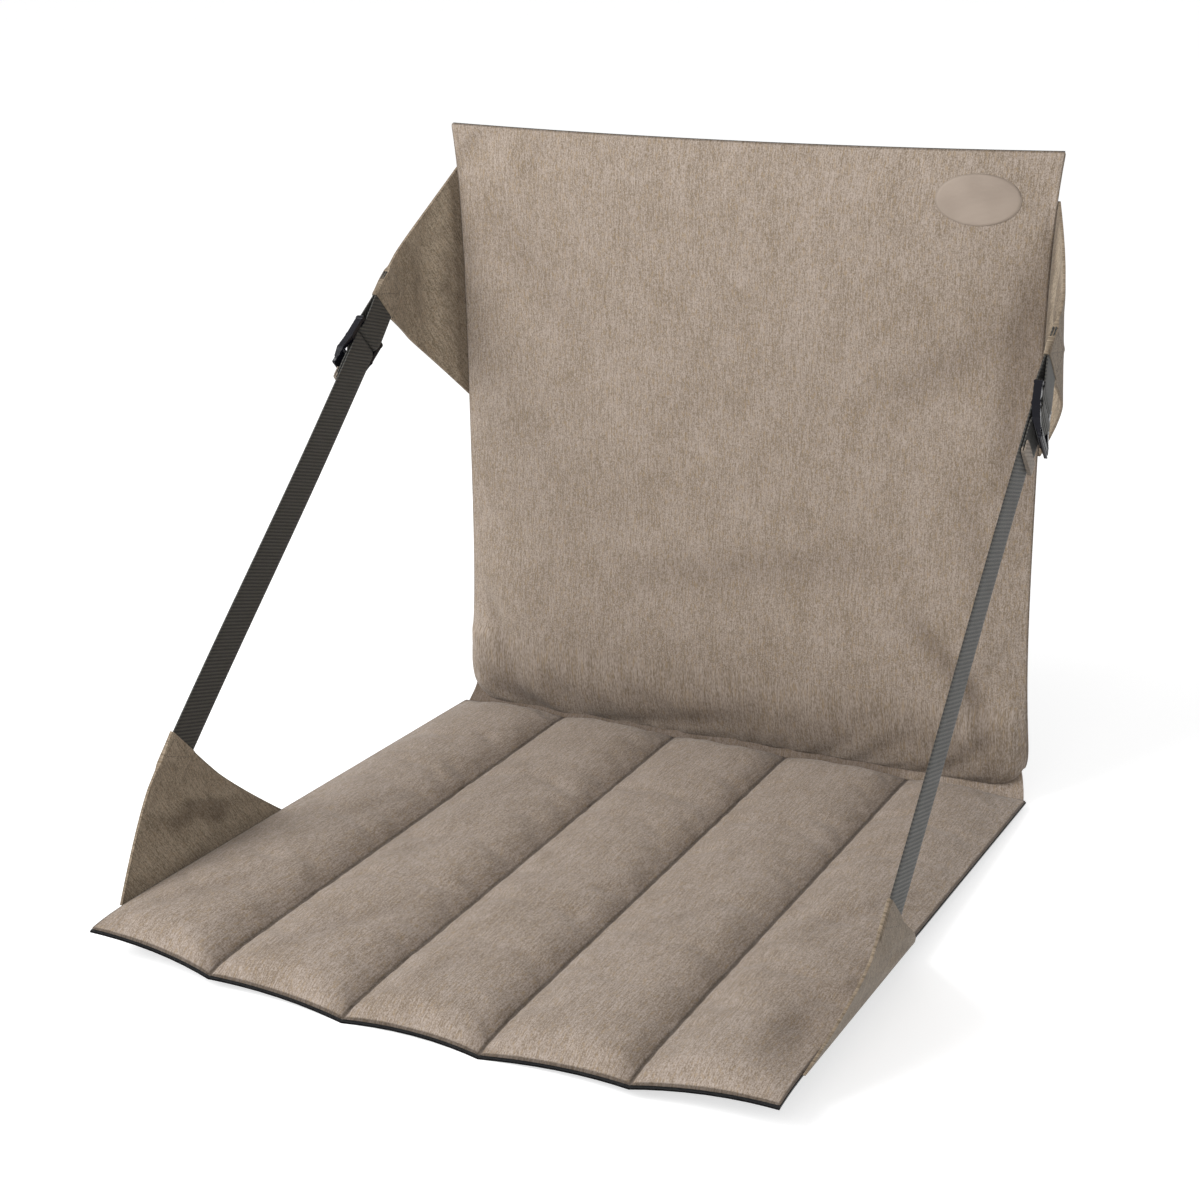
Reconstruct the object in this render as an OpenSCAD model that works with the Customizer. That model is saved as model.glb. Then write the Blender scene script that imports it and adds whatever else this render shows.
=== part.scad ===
// Folding bleacher chair: a channelled seat pad and a plain back pad, hinged on a fabric strip and held
// upright by two webbing straps with ladder-lock buckles. The origin is the middle of the seat's underside,
// +Z is up and the front edge of the seat faces -Y. Left and right are as seen by someone facing the chair.

/* [Seat] */
// Width of the seat over its side seams
seat_w = 420; // [380:1:460]
// Depth of the seat from the front seam to the rear seam
seat_d = 420; // [390:1:450]
// Thickness of the seat at the crown of a channel
seat_t = 15; // [12:0.5:17]
// Height of the stitched seams above the flat of the underside
seat_seam_rise = 3.5; // [2:0.5:5]
// Distance from the middle of the seat to the inner pair of seams
seam_inner_x = 42; // [30:1:60]
// Distance from the middle of the seat to the outer pair of seams
seam_outer_x = 129; // [115:1:150]
// How far the front edge is drawn in between two seams
front_scallop = 4; // [0:0.5:8]
// How far the strap tension lifts the front corners
corner_curl = 16; // [0:1:18]

/* [Back] */
// Width of the back over its corners
back_w = 420; // [390:1:430]
// Height of the back from its bottom seam to its top seam
back_h = 396; // [380:1:430]
// How far the front of the back swells ahead of its edge seam
back_crown = 6; // [4:0.5:7]
// How far the rear of the back swells behind its edge seam
back_rear_crown = 3.5; // [3:0.5:6]
// How far the sides of the back are drawn in at mid height
back_draw = 7; // [0:0.5:10]
// How far the top edge sags at its middle
back_sag = 3; // [0:0.5:6]
// Thickness of the stiffening board inside the back
board_t = 2; // [1:0.5:2.5]
// Corner radius of the stiffening board
board_r = 30; // [15:1:60]
// Distance from the edge seam of the back to the board
board_inset = 22; // [18:1:60]

/* [Covers and hinge] */
// Thickness of the covers' cloth with its backing
cover_t = 1; // [0.6:0.1:1.4]
// Gap between the crowns of the two pads when the back is folded down
fold_gap = 1.5; // [1:0.5:4]
// Height of the back's bottom seam above the hinge line
hinge_gap = 7.5; // [6:0.5:12]

/* [Wings] */
// Length of a seat wing where it is sewn to the seat
seat_wing_root = 160; // [120:1:190]
// Middle of a seat wing's root, measured back from the front seam
seat_wing_y = 111; // [100:1:150]
// Length of a back wing where it is sewn to the back
back_wing_root = 157; // [120:1:190]
// Middle of a back wing's root, measured up from the bottom seam
back_wing_z = 288; // [250:1:310]
// How far the wings' edges are hollowed
wing_hollow = 5; // [0:0.5:9]
// How much wider a wing's tip is than the webbing
wing_tip_extra = 4; // [2:0.5:8]

/* [Straps] */
// Width of the webbing
web_w = 25; // [20:1:30]
// Thickness of the webbing
web_t = 1.5; // [1:0.1:1.8]
// Distance of the straps from the middle of the chair
strap_x = 226; // [222:1:234]
// Place of a strap's lower end, measured back from the front seam
strap_low_y = 114; // [100:1:130]
// Height of a strap's lower end
strap_low_z = 80; // [60:1:85]
// Place of a back wing's tip, measured forward from the rear seam
strap_top_y = 63; // [45:1:70]
// Height of a back wing's tip
strap_top_z = 307; // [290:1:320]
// Length of webbing sewn between the two skins of a wing
sewn_len = 20; // [14:1:24]
// Length of the strap's free tail below the middle bar
tail_len = 31; // [27:1:60]
// Length of the folded hem at the end of the tail
hem_len = 8; // [5:1:12]

/* [Buckles] */
// Radius of the buckle's bars
bar_r = 2; // [1.6:0.1:2.4]
// Length of the anchor loop from the wing to the top bar
anchor_len = 21; // [16:1:30]
// Distance between the top bar and the middle bar
bar_pitch = 14; // [12:0.5:17]
// Width of each side rail
rail_w = 3.2; // [2.5:0.1:4]
// Depth of each side rail
rail_h = 5.5; // [5:0.1:7]
// Length of the locking tab below the middle bar
tab_len = 19; // [17:0.5:23]
// How far the end of the tab stands off the strap
tab_flare = 9; // [7:0.5:11]
// Number of grip ribs on the tab
grip_count = 4; // [2:1:5]

/* [Label] */
// Length of the plain oval patch
label_l = 53; // [40:1:70]
// Height of the plain oval patch
label_h = 31; // [20:1:36]
// Thickness of the plain oval patch
label_t = 0.6; // [0.4:0.1:1]
// Distance of the patch from the middle of the back
label_x = 159; // [100:1:165]
// Distance of the patch below the top seam
label_drop = 30.5; // [28:0.5:120]

/* [Hidden] */
$fn = 48;

fit = 0.2;
lap = 0.05;
cloth_colour = [0.64, 0.58, 0.5];
wing_colour = [0.5, 0.46, 0.37];
base_colour = [0.1, 0.1, 0.1];
foam_colour = [0.86, 0.86, 0.82];
board_colour = [0.3, 0.3, 0.32];
web_colour = [0.27, 0.27, 0.23];
buckle_colour = [0.05, 0.05, 0.06];
label_colour = [0.7, 0.63, 0.56];

// Stations across one channel, and along the depth of the seat, from one seam to the other
channel_stations = [-1, -0.8, -0.45, 0, 0.45, 0.8, 1];
depth_stations = [-1, -0.985, -0.95, -0.85, -0.6, -0.3, 0, 0.3, 0.6, 0.85, 0.95, 0.985, 1];
seam_x = [-seat_w / 2, -seam_outer_x, -seam_inner_x, seam_inner_x, seam_outer_x, seat_w / 2];
channel_count = len(seam_x) - 1;

// Closed solid between two surfaces that are given as functions of two station values
module grid_solid(us, vs, low, high) {
    nu = len(us);
    nv = len(vs);
    low_points = [for (u = us) for (v = vs) low(u, v)];
    high_points = [for (u = us) for (v = vs) high(u, v)];
    l = function(i, j) i * nv + j;
    h = function(i, j) nu * nv + i * nv + j;
    i_end = nu - 1;
    j_end = nv - 1;
    faces = concat(
        [for (i = [0:i_end - 1]) for (j = [0:j_end - 1]) [h(i, j), h(i, j + 1), h(i + 1, j + 1)]],
        [for (i = [0:i_end - 1]) for (j = [0:j_end - 1]) [h(i, j), h(i + 1, j + 1), h(i + 1, j)]],
        [for (i = [0:i_end - 1]) for (j = [0:j_end - 1]) [l(i, j), l(i + 1, j + 1), l(i, j + 1)]],
        [for (i = [0:i_end - 1]) for (j = [0:j_end - 1]) [l(i, j), l(i + 1, j), l(i + 1, j + 1)]],
        [for (j = [0:j_end - 1]) [h(0, j + 1), h(0, j), l(0, j)]],
        [for (j = [0:j_end - 1]) [h(0, j + 1), l(0, j), l(0, j + 1)]],
        [for (j = [0:j_end - 1]) [h(i_end, j), h(i_end, j + 1), l(i_end, j + 1)]],
        [for (j = [0:j_end - 1]) [h(i_end, j), l(i_end, j + 1), l(i_end, j)]],
        [for (i = [0:i_end - 1]) [h(i + 1, j_end), h(i, j_end), l(i, j_end)]],
        [for (i = [0:i_end - 1]) [h(i + 1, j_end), l(i, j_end), l(i + 1, j_end)]],
        [for (i = [0:i_end - 1]) [h(i, 0), h(i + 1, 0), l(i + 1, 0)]],
        [for (i = [0:i_end - 1]) [h(i, 0), l(i + 1, 0), l(i, 0)]]
    );
    polyhedron(points = concat(low_points, high_points), faces = faces, convexity = 6);
}

// Seat: a channel number and a place across it, from -1 to 1, give the distance across the chair
function seat_x(k, c) = (seam_x[k] + seam_x[k + 1]) / 2 + c * (seam_x[k + 1] - seam_x[k]) / 2;

// A station across the whole seat is the channel number plus a share from 0 to 1
function channel_of(u) = min(floor(u), channel_count - 1);
function place_of(u) = 2 * (u - channel_of(u)) - 1;
function across(u) = seat_x(channel_of(u), place_of(u));
function along(u, v) = v * seat_d / 2
    + (v < 0 ? front_scallop * (1 - pow(place_of(u), 2)) * pow(-v, edge_power) : 0);

// The middle of the seat stays flat, and the sides rise toward the front; the powers set how sharp a bend is
flat_share = 0.2;
curl_power = 1.6;
seam_power = 3;
edge_power = 24;
crown_power = 2.4;
layers_t = 2 * cover_t + fit;
function curl(x, y) = corner_curl * (seat_d / 2 - y) / seat_d
    * pow(max(0, abs(x) / (seat_w / 2) - flat_share) / (1 - flat_share), curl_power);
function pinch(c, v) = max(pow(max(0, 2 * abs(c) - 1), seam_power), pow(abs(v), edge_power));
function swell(c, v) = (1 - pow(abs(c), crown_power)) * (1 - pow(abs(v), edge_power));

function seat_low(u, v) = curl(across(u), along(u, v)) + seat_seam_rise * pinch(place_of(u), v);
function seat_high(u, v) = curl(across(u), along(u, v)) + seat_seam_rise + layers_t
    + (seat_t - seat_seam_rise - layers_t) * swell(place_of(u), v);
function seat_point(u, v, z) = [across(u), along(u, v), z];

seat_stations = concat(
    [for (k = [0:channel_count - 1]) for (i = [0:len(channel_stations) - 2]) k + (channel_stations[i] + 1) / 2],
    [channel_count]
);

module seat_top_cover() {
    color(cloth_colour)
    grid_solid(seat_stations, depth_stations,
        function(u, v) seat_point(u, v, seat_high(u, v) - cover_t),
        function(u, v) seat_point(u, v, seat_high(u, v)));
}

module seat_base_cover() {
    color(base_colour)
    grid_solid(seat_stations, depth_stations,
        function(u, v) seat_point(u, v, seat_low(u, v)),
        function(u, v) seat_point(u, v, seat_low(u, v) + cover_t));
}

// Foam strips share the covers' stations, so that they lie an even gap under the cloth
module seat_foam(k) {
    us = [for (i = [1:len(channel_stations) - 2]) k + (channel_stations[i] + 1) / 2];
    vs = [for (i = [2:len(depth_stations) - 3]) depth_stations[i]];
    color(foam_colour)
    grid_solid(us, vs,
        function(u, v) seat_point(u, v, seat_low(u, v) + cover_t + fit),
        function(u, v) seat_point(u, v, seat_high(u, v) - cover_t - fit));
}

// Back: u runs across and v runs up, both from -1 to 1
hinge_y = seat_d / 2 + 1;
hinge_z = seat_t + fold_gap;
back_z = hinge_z + hinge_gap;
edge_half = cover_t + fit / 2;
back_y = hinge_y + back_crown + edge_half;
back_u = [-1, -0.985, -0.95, -0.85, -0.65, -0.4, -0.13, 0.13, 0.4, 0.65, 0.85, 0.95, 0.985, 1];
back_v = [-1, -0.985, -0.95, -0.85, -0.6, -0.3, 0, 0.3, 0.6, 0.85, 0.95, 0.985, 1];
// Powers that keep the two covers flat across and up, before they round off to the edge seam
front_flat = [4, 8];
rear_flat = [14, 18];
function back_half(v) = back_w / 2 - back_draw * (1 - pow(v, 4));
function back_rise(u, v) = back_z + (v + 1) / 2 * (back_h - back_sag * (1 - u * u));
function pillow(u, v, pu, pv) = max(0, 1 - sqrt(pow(abs(u), 2 * pu) + pow(abs(v), 2 * pv)));
function front_depth(u, v) = edge_half + back_crown * pillow(u, v, front_flat[0], front_flat[1]);
function rear_depth(u, v) = edge_half + back_rear_crown * pillow(u, v, rear_flat[0], rear_flat[1]);
function back_point(u, v, y) = [u * back_half(v), y, back_rise(u, v)];

module back_front_cover() {
    color(cloth_colour)
    grid_solid(back_u, back_v,
        function(u, v) back_point(u, v, back_y - front_depth(u, v) + cover_t),
        function(u, v) back_point(u, v, back_y - front_depth(u, v)));
}

module back_rear_cover() {
    color(base_colour)
    grid_solid(back_u, back_v,
        function(u, v) back_point(u, v, back_y + rear_depth(u, v)),
        function(u, v) back_point(u, v, back_y + rear_depth(u, v) - cover_t));
}

module back_foam() {
    us = [for (i = [3:len(back_u) - 4]) back_u[i]];
    vs = [for (i = [3:len(back_v) - 4]) back_v[i]];
    color(foam_colour)
    grid_solid(us, vs,
        function(u, v) back_point(u, v, back_y - board_t / 2 - fit),
        function(u, v) back_point(u, v, back_y - front_depth(u, v) + cover_t + fit));
}

module back_board() {
    w = back_w - 2 * back_draw - 2 * board_inset;
    h = back_h - back_sag - 2 * board_inset;
    color(board_colour)
    translate([0, back_y + board_t / 2, back_z + board_inset + h / 2])
    rotate([90, 0, 0])
    linear_extrude(board_t)
    union() {
        square([w - 2 * board_r, h], center = true);
        square([w, h - 2 * board_r], center = true);
        for (sx = [-1, 1]) {
            for (sy = [-1, 1]) {
                translate([sx * (w / 2 - board_r), sy * (h / 2 - board_r)])
                circle(board_r);
            }
        }
    }
}

// The strip bends on the hinge line between the seat's rear seam and the back's bottom seam
module hinge_strip() {
    low_z = seat_seam_rise + fit;
    rear_y = back_y + cover_t;
    steps = 8;
    bow = 2.5;
    function strip_y(s) = seat_d / 2 + fit + (rear_y - seat_d / 2 - fit - cover_t) * s + bow * sin(180 * s);
    function strip_z(s) = low_z + (back_z - fit - low_z) * s;
    outline = concat(
        [for (i = [0:steps]) [strip_y(i / steps), strip_z(i / steps)]],
        [for (i = [steps:-1:0]) [strip_y(i / steps) + cover_t, strip_z(i / steps)]]
    );
    color(cloth_colour)
    translate([-back_w / 2 + back_draw, 0, 0])
    rotate([90, 0, 90])
    linear_extrude(back_w - 2 * back_draw)
    polygon(outline);
}

// A place on the front of the back, given as distances across the chair and above the floor
function skin_v(z) = 2 * (z - back_z) / back_h - 1;
function skin_u(x, z) = x / back_half(skin_v(z));
function skin_point(x, z, off) =
    [x, back_y - front_depth(skin_u(x, z), skin_v(z)) - off, z];

module label_patch() {
    zc = back_z + back_h - label_drop;
    stations = [-0.57, -0.4, -0.2, 0, 0.2, 0.4, 0.57];
    color(label_colour)
    intersection() {
        grid_solid([for (s = stations) label_x + s * label_l], [for (s = stations) zc + s * label_h],
            function(x, z) skin_point(x, z, fit),
            function(x, z) skin_point(x, z, fit + label_t));
        translate([label_x, back_y, zc])
        rotate([90, 0, 0])
        linear_extrude(4 * back_crown)
        polygon([for (i = [0:$fn - 1]) [label_l / 2 * cos(360 * i / $fn), label_h / 2 * sin(360 * i / $fn)]]);
    }
}

// Straps: both ends lie on one line in a plane beside the chair
low_end = [strap_x, strap_low_y - seat_d / 2, strap_low_z];
top_end = [strap_x, seat_d / 2 - strap_top_y, strap_top_z];
strap_run = norm(top_end - low_end);
strap_angle = atan2(top_end[2] - low_end[2], top_end[1] - low_end[1]);
strap_dir = (top_end - low_end) / strap_run;
web_dir = [0, -sin(strap_angle), cos(strap_angle)];

// Places a shape that is drawn along the strap (x), outward from it (y) and across its width (z)
module on_strap(from_top) {
    translate(top_end - from_top * strap_dir)
    rotate([strap_angle, 0, 0])
    rotate([180, 0, 90])
    children();
}

module both_ways(depth) {
    translate([0, 0, -depth / 2])
    linear_extrude(depth)
    children();
}

wrap_in = bar_r + 0.15;
wrap_out = wrap_in + web_t;
mid_bar_s = anchor_len + bar_pitch;
mid_bar_n = wrap_in + web_t / 2;
top_bar_n = 1;

// The tail runs down from the middle bar through a throat and on along the strap
throat = 7;
tail_n = -wrap_in + fit;
slope_end = -bar_r - throat;

wrap_turn = 24;

module strap() {
    run_down = strap_run - mid_bar_s + sewn_len;
    far = 2 * wrap_out;
    leave = [-sin(wrap_turn), cos(wrap_turn)];
    color(web_colour)
    on_strap(mid_bar_s)
    translate([0, mid_bar_n, 0])
    both_ways(web_w)
    union() {
        translate([-run_down, -wrap_out])
        square([run_down + lap, web_t]);
        intersection() {
            difference() {
                circle(wrap_out);
                circle(wrap_in);
            }
            polygon([[0, -far], [far, -far], [far, far], far * leave, [0, 0]]);
        }
        polygon([
            wrap_in * leave + [lap, 0],
            wrap_out * leave + [lap, 0],
            [slope_end, tail_n + web_t],
            [slope_end - 1, tail_n]
        ]);
        translate([-tail_len, tail_n])
        square([tail_len + slope_end + lap, web_t]);
        translate([-tail_len, tail_n + web_t - lap])
        square([hem_len, web_t + lap]);
    }
}

// Outline of a doubled webbing: round over the top bar, then narrowing to the sewn end
module loop_outline(r, half, reach) {
    mouth = anchor_len - 5 * fit;
    union() {
        translate([0, top_bar_n])
        circle(r);
        polygon([
            [0, top_bar_n - r],
            [mouth, -half],
            [anchor_len + reach, -half],
            [anchor_len + reach, half],
            [mouth, half],
            [0, top_bar_n + r]
        ]);
    }
}

module anchor_loop() {
    half_gap = fit / 2;
    color(web_colour)
    on_strap(anchor_len)
    both_ways(web_w)
    difference() {
        loop_outline(wrap_out, half_gap + web_t, sewn_len);
        loop_outline(wrap_in, half_gap, sewn_len + 1);
    }
}

// Wings: s runs along the root and t from the root to the tip, which is square to the strap
tip_half = (web_w + wing_tip_extra) / 2;
wing_s = [-1, -0.85, -0.5, 0, 0.5, 0.85, 1];
wing_t = [0, 0.15, 0.35, 0.55, 0.75, 0.9, 1];
root_half_t = 0.8;
skin_t = 0.8;
splay_power = 3.5;
full_at = 0.55;

function mix(a, b, t) = a + (b - a) * t;
function hollow(s, t) = -wing_hollow * s * 4 * t * (1 - t);
function splay(x_root, t) = mix(x_root, strap_x, 1 - pow(1 - t, splay_power));
function wing_half(tip_half_t, t) = mix(root_half_t, tip_half_t, min(1, t / full_at));

function seat_wing_point(s, t, off) =
    let (root_y = seat_wing_y - seat_d / 2 + s * seat_wing_root / 2)
    let (root_z = curl(seat_w / 2, root_y) + seat_seam_rise + cover_t)
    let (tip = low_end - s * tip_half * web_dir)
    [splay(seat_w / 2 + root_half_t + fit, t) + off, mix(root_y, tip[1], t) + hollow(s, t), mix(root_z, tip[2], t)];

function back_wing_point(s, t, off) =
    let (root_z = back_z + back_wing_z + s * back_wing_root / 2)
    let (root_x = back_half(skin_v(root_z)) + root_half_t + 2 * fit)
    let (tip = top_end + s * tip_half * web_dir)
    [splay(root_x, t) + off, mix(back_y, tip[1], t), mix(root_z, tip[2], t) + hollow(s, t)];

// The pocket takes the sewn end of the webbing between the wing's two skins, and is open at the tip
module pocket(from_top, layers) {
    on_strap(from_top)
    both_ways(web_w + 2 * fit)
    translate([-2 * lap, -layers * (web_t + fit) / 2 - fit / 2])
    square([sewn_len + fit + 2 * lap, layers * (web_t + fit) + fit]);
}

module seat_wing() {
    tip_half_t = web_t / 2 + fit + skin_t;
    color(wing_colour)
    difference() {
        grid_solid(wing_s, wing_t,
            function(s, t) seat_wing_point(s, t, -wing_half(tip_half_t, t)),
            function(s, t) seat_wing_point(s, t, wing_half(tip_half_t, t)));
        translate((2 * lap - sewn_len - fit) * strap_dir)
        pocket(strap_run, 1);
    }
}

module back_wing() {
    tip_half_t = web_t + 2 * fit + skin_t;
    color(wing_colour)
    difference() {
        grid_solid(wing_s, wing_t,
            function(s, t) back_wing_point(s, t, wing_half(tip_half_t, t)),
            function(s, t) back_wing_point(s, t, -wing_half(tip_half_t, t)));
        pocket(0, 2);
    }
}

// Ladder-lock buckle: places along the strap and outward from it, from the axis of the middle bar
inner_w = web_w + 1;
outer_w = inner_w + 2 * rail_w;
rail_r = rail_h / 2;
neck_r = rail_r - 0.4;
rail_end_r = 1.3;
tab_r = 1.5;
lip_r = 1;
jaw_r = 0.8;
rib_r = 0.55;
boss = 0.15;
top_bar = [bar_pitch, top_bar_n - mid_bar_n];
tab_root = [slope_end - 1, 2.7];
tab_tip = [-tab_len, tab_flare - mid_bar_n];
jaw = [slope_end - 1.4, tail_n + web_t + fit + jaw_r];

// Straight-sided bar that tapers from one circle to another
module limb(a, b, ra, rb) {
    d = (b - a) / norm(b - a);
    n = [-d[1], d[0]];
    polygon([a + ra * n, b + rb * n, b - rb * n, a - ra * n]);
}

// Each rail is a little thicker round the bars' ends
module rail_profile() {
    union() {
        translate(top_bar)
        circle(rail_r);
        circle(rail_r);
        translate(tab_root)
        circle(neck_r);
        translate(tab_tip)
        circle(rail_end_r);
        limb(top_bar, [0, 0], neck_r, neck_r);
        limb([0, 0], tab_root, neck_r, neck_r - boss);
        limb(tab_root, tab_tip, neck_r - boss, rail_end_r - boss);
    }
}

// The tab's plate, with the jaw that pins the tail
module tab_profile() {
    union() {
        translate(tab_root)
        circle(tab_r);
        translate(tab_tip)
        circle(lip_r);
        translate(jaw)
        circle(jaw_r);
        limb(tab_root, tab_tip, tab_r - boss, lip_r - boss);
        limb(tab_root, jaw, tab_r - 2 * boss, jaw_r - boss);
    }
}

module buckle() {
    bar_reach = inner_w + 2 * fit;
    color(buckle_colour)
    on_strap(mid_bar_s)
    translate([0, mid_bar_n, 0])
    union() {
        intersection() {
            union() {
                for (side = [0, 1]) {
                    mirror([0, 0, side])
                    translate([0, 0, inner_w / 2])
                    linear_extrude(rail_w)
                    rail_profile();
                }
                both_ways(outer_w - rail_w)
                tab_profile();
            }
            rotate([-90, 0, 0])
            both_ways(8 * rail_h)
            buckle_plan();
        }
        both_ways(bar_reach)
        circle(bar_r);
        translate(top_bar)
        both_ways(bar_reach)
        circle(bar_r);
        for (i = [0:grip_count - 1]) {
            translate(grip_place(i))
            both_ways(inner_w - 2 * rail_w)
            circle(rib_r);
        }
    }
}

// Ribs along the outer face of the tab
function grip_place(i) =
    let (d = (tab_tip - tab_root) / norm(tab_tip - tab_root))
    let (p = mix(tab_root, tab_tip, 0.25 + 0.75 * (i + 0.5) / grip_count))
    p + mix(tab_r, lip_r, 0.25 + 0.75 * (i + 0.5) / grip_count) * [d[1], -d[0]];

// Outline seen square to the strap: rounded shoulders and a tapered, rounded tab
module buckle_plan() {
    corner_r = 3;
    tab_corner_r = 3.5;
    top = bar_pitch + rail_r + lap;
    end = -tab_len - rail_end_r - lap;
    half = outer_w / 2 + lap;
    end_half = half - 4;
    union() {
        translate([tab_root[0], -half])
        square([top - tab_root[0] - corner_r, outer_w]);
        translate([tab_root[0], corner_r - half])
        square([top - tab_root[0], outer_w - 2 * corner_r]);
        for (side = [-1, 1]) {
            translate([top - corner_r, side * (half - corner_r)])
            circle(corner_r);
            translate([end + tab_corner_r, side * (end_half - tab_corner_r)])
            circle(tab_corner_r + lap);
        }
        polygon([
            [tab_root[0] + lap, half],
            [tab_root[0] + lap, -half],
            [end + tab_corner_r, -end_half],
            [end, tab_corner_r - end_half],
            [end, end_half - tab_corner_r],
            [end + tab_corner_r, end_half]
        ]);
    }
}

module left() {
    mirror([1, 0, 0])
    children();
}

seat_top_cover();
seat_base_cover();
seat_foam(0);  // seat_foam_1
seat_foam(1);  // seat_foam_2
seat_foam(2);  // seat_foam_3
seat_foam(3);  // seat_foam_4
seat_foam(4);  // seat_foam_5
hinge_strip();
back_front_cover();
back_rear_cover();
back_foam();
back_board();
label_patch();
left() seat_wing();  // seat_wing_left
seat_wing();  // seat_wing_right
left() back_wing();  // back_wing_left
back_wing();  // back_wing_right
left() strap();  // strap_left
strap();  // strap_right
left() anchor_loop();  // anchor_loop_left
anchor_loop();  // anchor_loop_right
left() buckle();  // buckle_left
buckle();  // buckle_right
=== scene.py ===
"""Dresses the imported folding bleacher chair.

The seat and the back are padded pieces in heathered cloth, the wings are doubled cloth, the straps are twill webbing
and the buckles are polished ladder locks. Every length is in metres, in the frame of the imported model: +X to the right
of someone who faces the chair, +Y from the front edge of the seat toward the back, +Z up.
"""
import logging
import math
from dataclasses import dataclass
from enum import Enum
from functools import cache
from typing import Callable, Iterable, Sequence

import bpy
import numpy as np
from mathutils import Euler, Matrix, Vector
from mathutils.bvhtree import BVHTree


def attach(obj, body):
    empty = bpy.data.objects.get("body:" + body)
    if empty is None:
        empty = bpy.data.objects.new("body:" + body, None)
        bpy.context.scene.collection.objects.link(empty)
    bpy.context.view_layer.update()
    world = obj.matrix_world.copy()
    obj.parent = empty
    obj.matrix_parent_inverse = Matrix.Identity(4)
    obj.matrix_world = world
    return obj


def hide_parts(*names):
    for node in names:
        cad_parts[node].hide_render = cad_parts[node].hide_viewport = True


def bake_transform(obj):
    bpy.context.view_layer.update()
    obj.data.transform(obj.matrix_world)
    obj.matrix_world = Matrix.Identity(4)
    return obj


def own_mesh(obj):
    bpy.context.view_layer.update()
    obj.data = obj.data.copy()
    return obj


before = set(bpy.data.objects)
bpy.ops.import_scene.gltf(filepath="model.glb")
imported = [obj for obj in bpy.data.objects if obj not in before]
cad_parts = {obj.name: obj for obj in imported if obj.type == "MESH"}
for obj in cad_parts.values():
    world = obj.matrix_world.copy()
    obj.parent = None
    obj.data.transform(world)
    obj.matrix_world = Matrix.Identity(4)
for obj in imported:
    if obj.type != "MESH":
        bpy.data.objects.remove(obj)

LOG = logging.getLogger("bleacher_chair")
CLOTH_MAP = "cloth"
SEAM_GAP = "seam_gap"
# Each point's share of painted shade: in creases and folds, on slopes and sides that turn from the light, under the
# back's roll, on the hinge strip, on the wings' roots, rims and outer skins, and in random patches on the wings.
FOLD_SHADE = "fold_shade"

VECTOR, COLOR, FLOAT = "NodeSocketVector", "NodeSocketColor", "NodeSocketFloat"
WHITE = (1.0, 1.0, 1.0, 1.0)

Array = np.ndarray
Object, Material, Node = bpy.types.Object, bpy.types.Material, bpy.types.Node
Tree, Socket = bpy.types.NodeTree, bpy.types.NodeSocket
Colour = tuple[float, float, float]
Place = tuple[float, float]
Row = tuple[Array, Array]
Surface = Callable[[Array, Array], Array]


class Side(Enum):
    """One side of the chair, as someone who faces it sees it."""

    LEFT = "left"
    RIGHT = "right"

    @property
    def sign(self) -> float:
        """The direction of this side along X."""
        return 1.0 if self is Side.RIGHT else -1.0


# ---- Mesh tools


def pick(obj: Object) -> None:
    """Selects one object alone and makes it the active one.

    Args:
        obj: The object to select.
    """
    for other in list(bpy.context.selected_objects):
        other.select_set(False)
    obj.select_set(True)
    bpy.context.view_layer.objects.active = obj


def read_vectors(items: bpy.types.bpy_prop_collection, name: str) -> Array:
    """Reads one vector of each item of a mesh.

    Args:
        items: The mesh's points or normals.
        name: Blender's name for the vector.

    Returns:
        One row of three values for each item.
    """
    flat = np.empty(len(items) * 3, np.float32)
    items.foreach_get(name, flat)
    return flat.reshape(-1, 3).astype(float)


def coords(obj: Object) -> Array:
    """A mesh's points, one row of coordinates for each."""
    return read_vectors(obj.data.vertices, "co")


def point_normals(obj: Object) -> Array:
    """The normals at a mesh's points, one row for each."""
    return read_vectors(obj.data.vertex_normals, "vector")


def set_coords(obj: Object, points: Array) -> None:
    """Writes a mesh's points.

    Args:
        obj: A mesh object.
        points: One row of three coordinates for each point.
    """
    obj.data.vertices.foreach_set("co", points.astype(np.float32).ravel())
    obj.data.update()


def finish_with(obj: Object, kind: str, **settings: object) -> None:
    """Adds a modifier and applies it.

    Args:
        obj: A mesh object.
        kind: Blender's name for the modifier's type.
        settings: Values for the modifier.
    """
    pick(obj)
    modifier = obj.modifiers.new(kind.title(), kind)
    for name, value in settings.items():
        setattr(modifier, name, value)
    bpy.ops.object.modifier_apply(modifier=modifier.name)


def turn_outward(obj: Object) -> None:
    """Makes all faces of a closed mesh point outwards.

    Args:
        obj: A closed mesh object.
    """
    pick(obj)
    bpy.ops.object.mode_set(mode="EDIT")
    bpy.ops.mesh.select_all(action="SELECT")
    bpy.ops.mesh.normals_make_consistent(inside=False)
    bpy.ops.object.mode_set(mode="OBJECT")


def corners(obj: Object) -> Array:
    """The number of the point at each corner of a mesh's faces."""
    found = np.empty(len(obj.data.loops), np.int32)
    obj.data.loops.foreach_get("vertex_index", found)
    return found


def write_map(obj: Object, places: Array) -> None:
    """Gives a mesh its cloth map, in metres of flat cloth.

    Args:
        obj: A mesh object.
        places: One flat place for each point.
    """
    layer = obj.data.uv_layers.new(name=CLOTH_MAP)
    layer.data.foreach_set("uv", places[corners(obj)].astype(np.float32).ravel())


def read_map(obj: Object) -> Array:
    """Reads the cloth map back.

    Args:
        obj: A mesh object with a cloth map.

    Returns:
        One flat place for each point.
    """
    flat = np.empty(len(obj.data.loops) * 2, np.float32)
    obj.data.uv_layers[CLOTH_MAP].data.foreach_get("uv", flat)
    places = np.zeros((len(obj.data.vertices), 2))
    places[corners(obj)] = flat.reshape(-1, 2)
    return places


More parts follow.
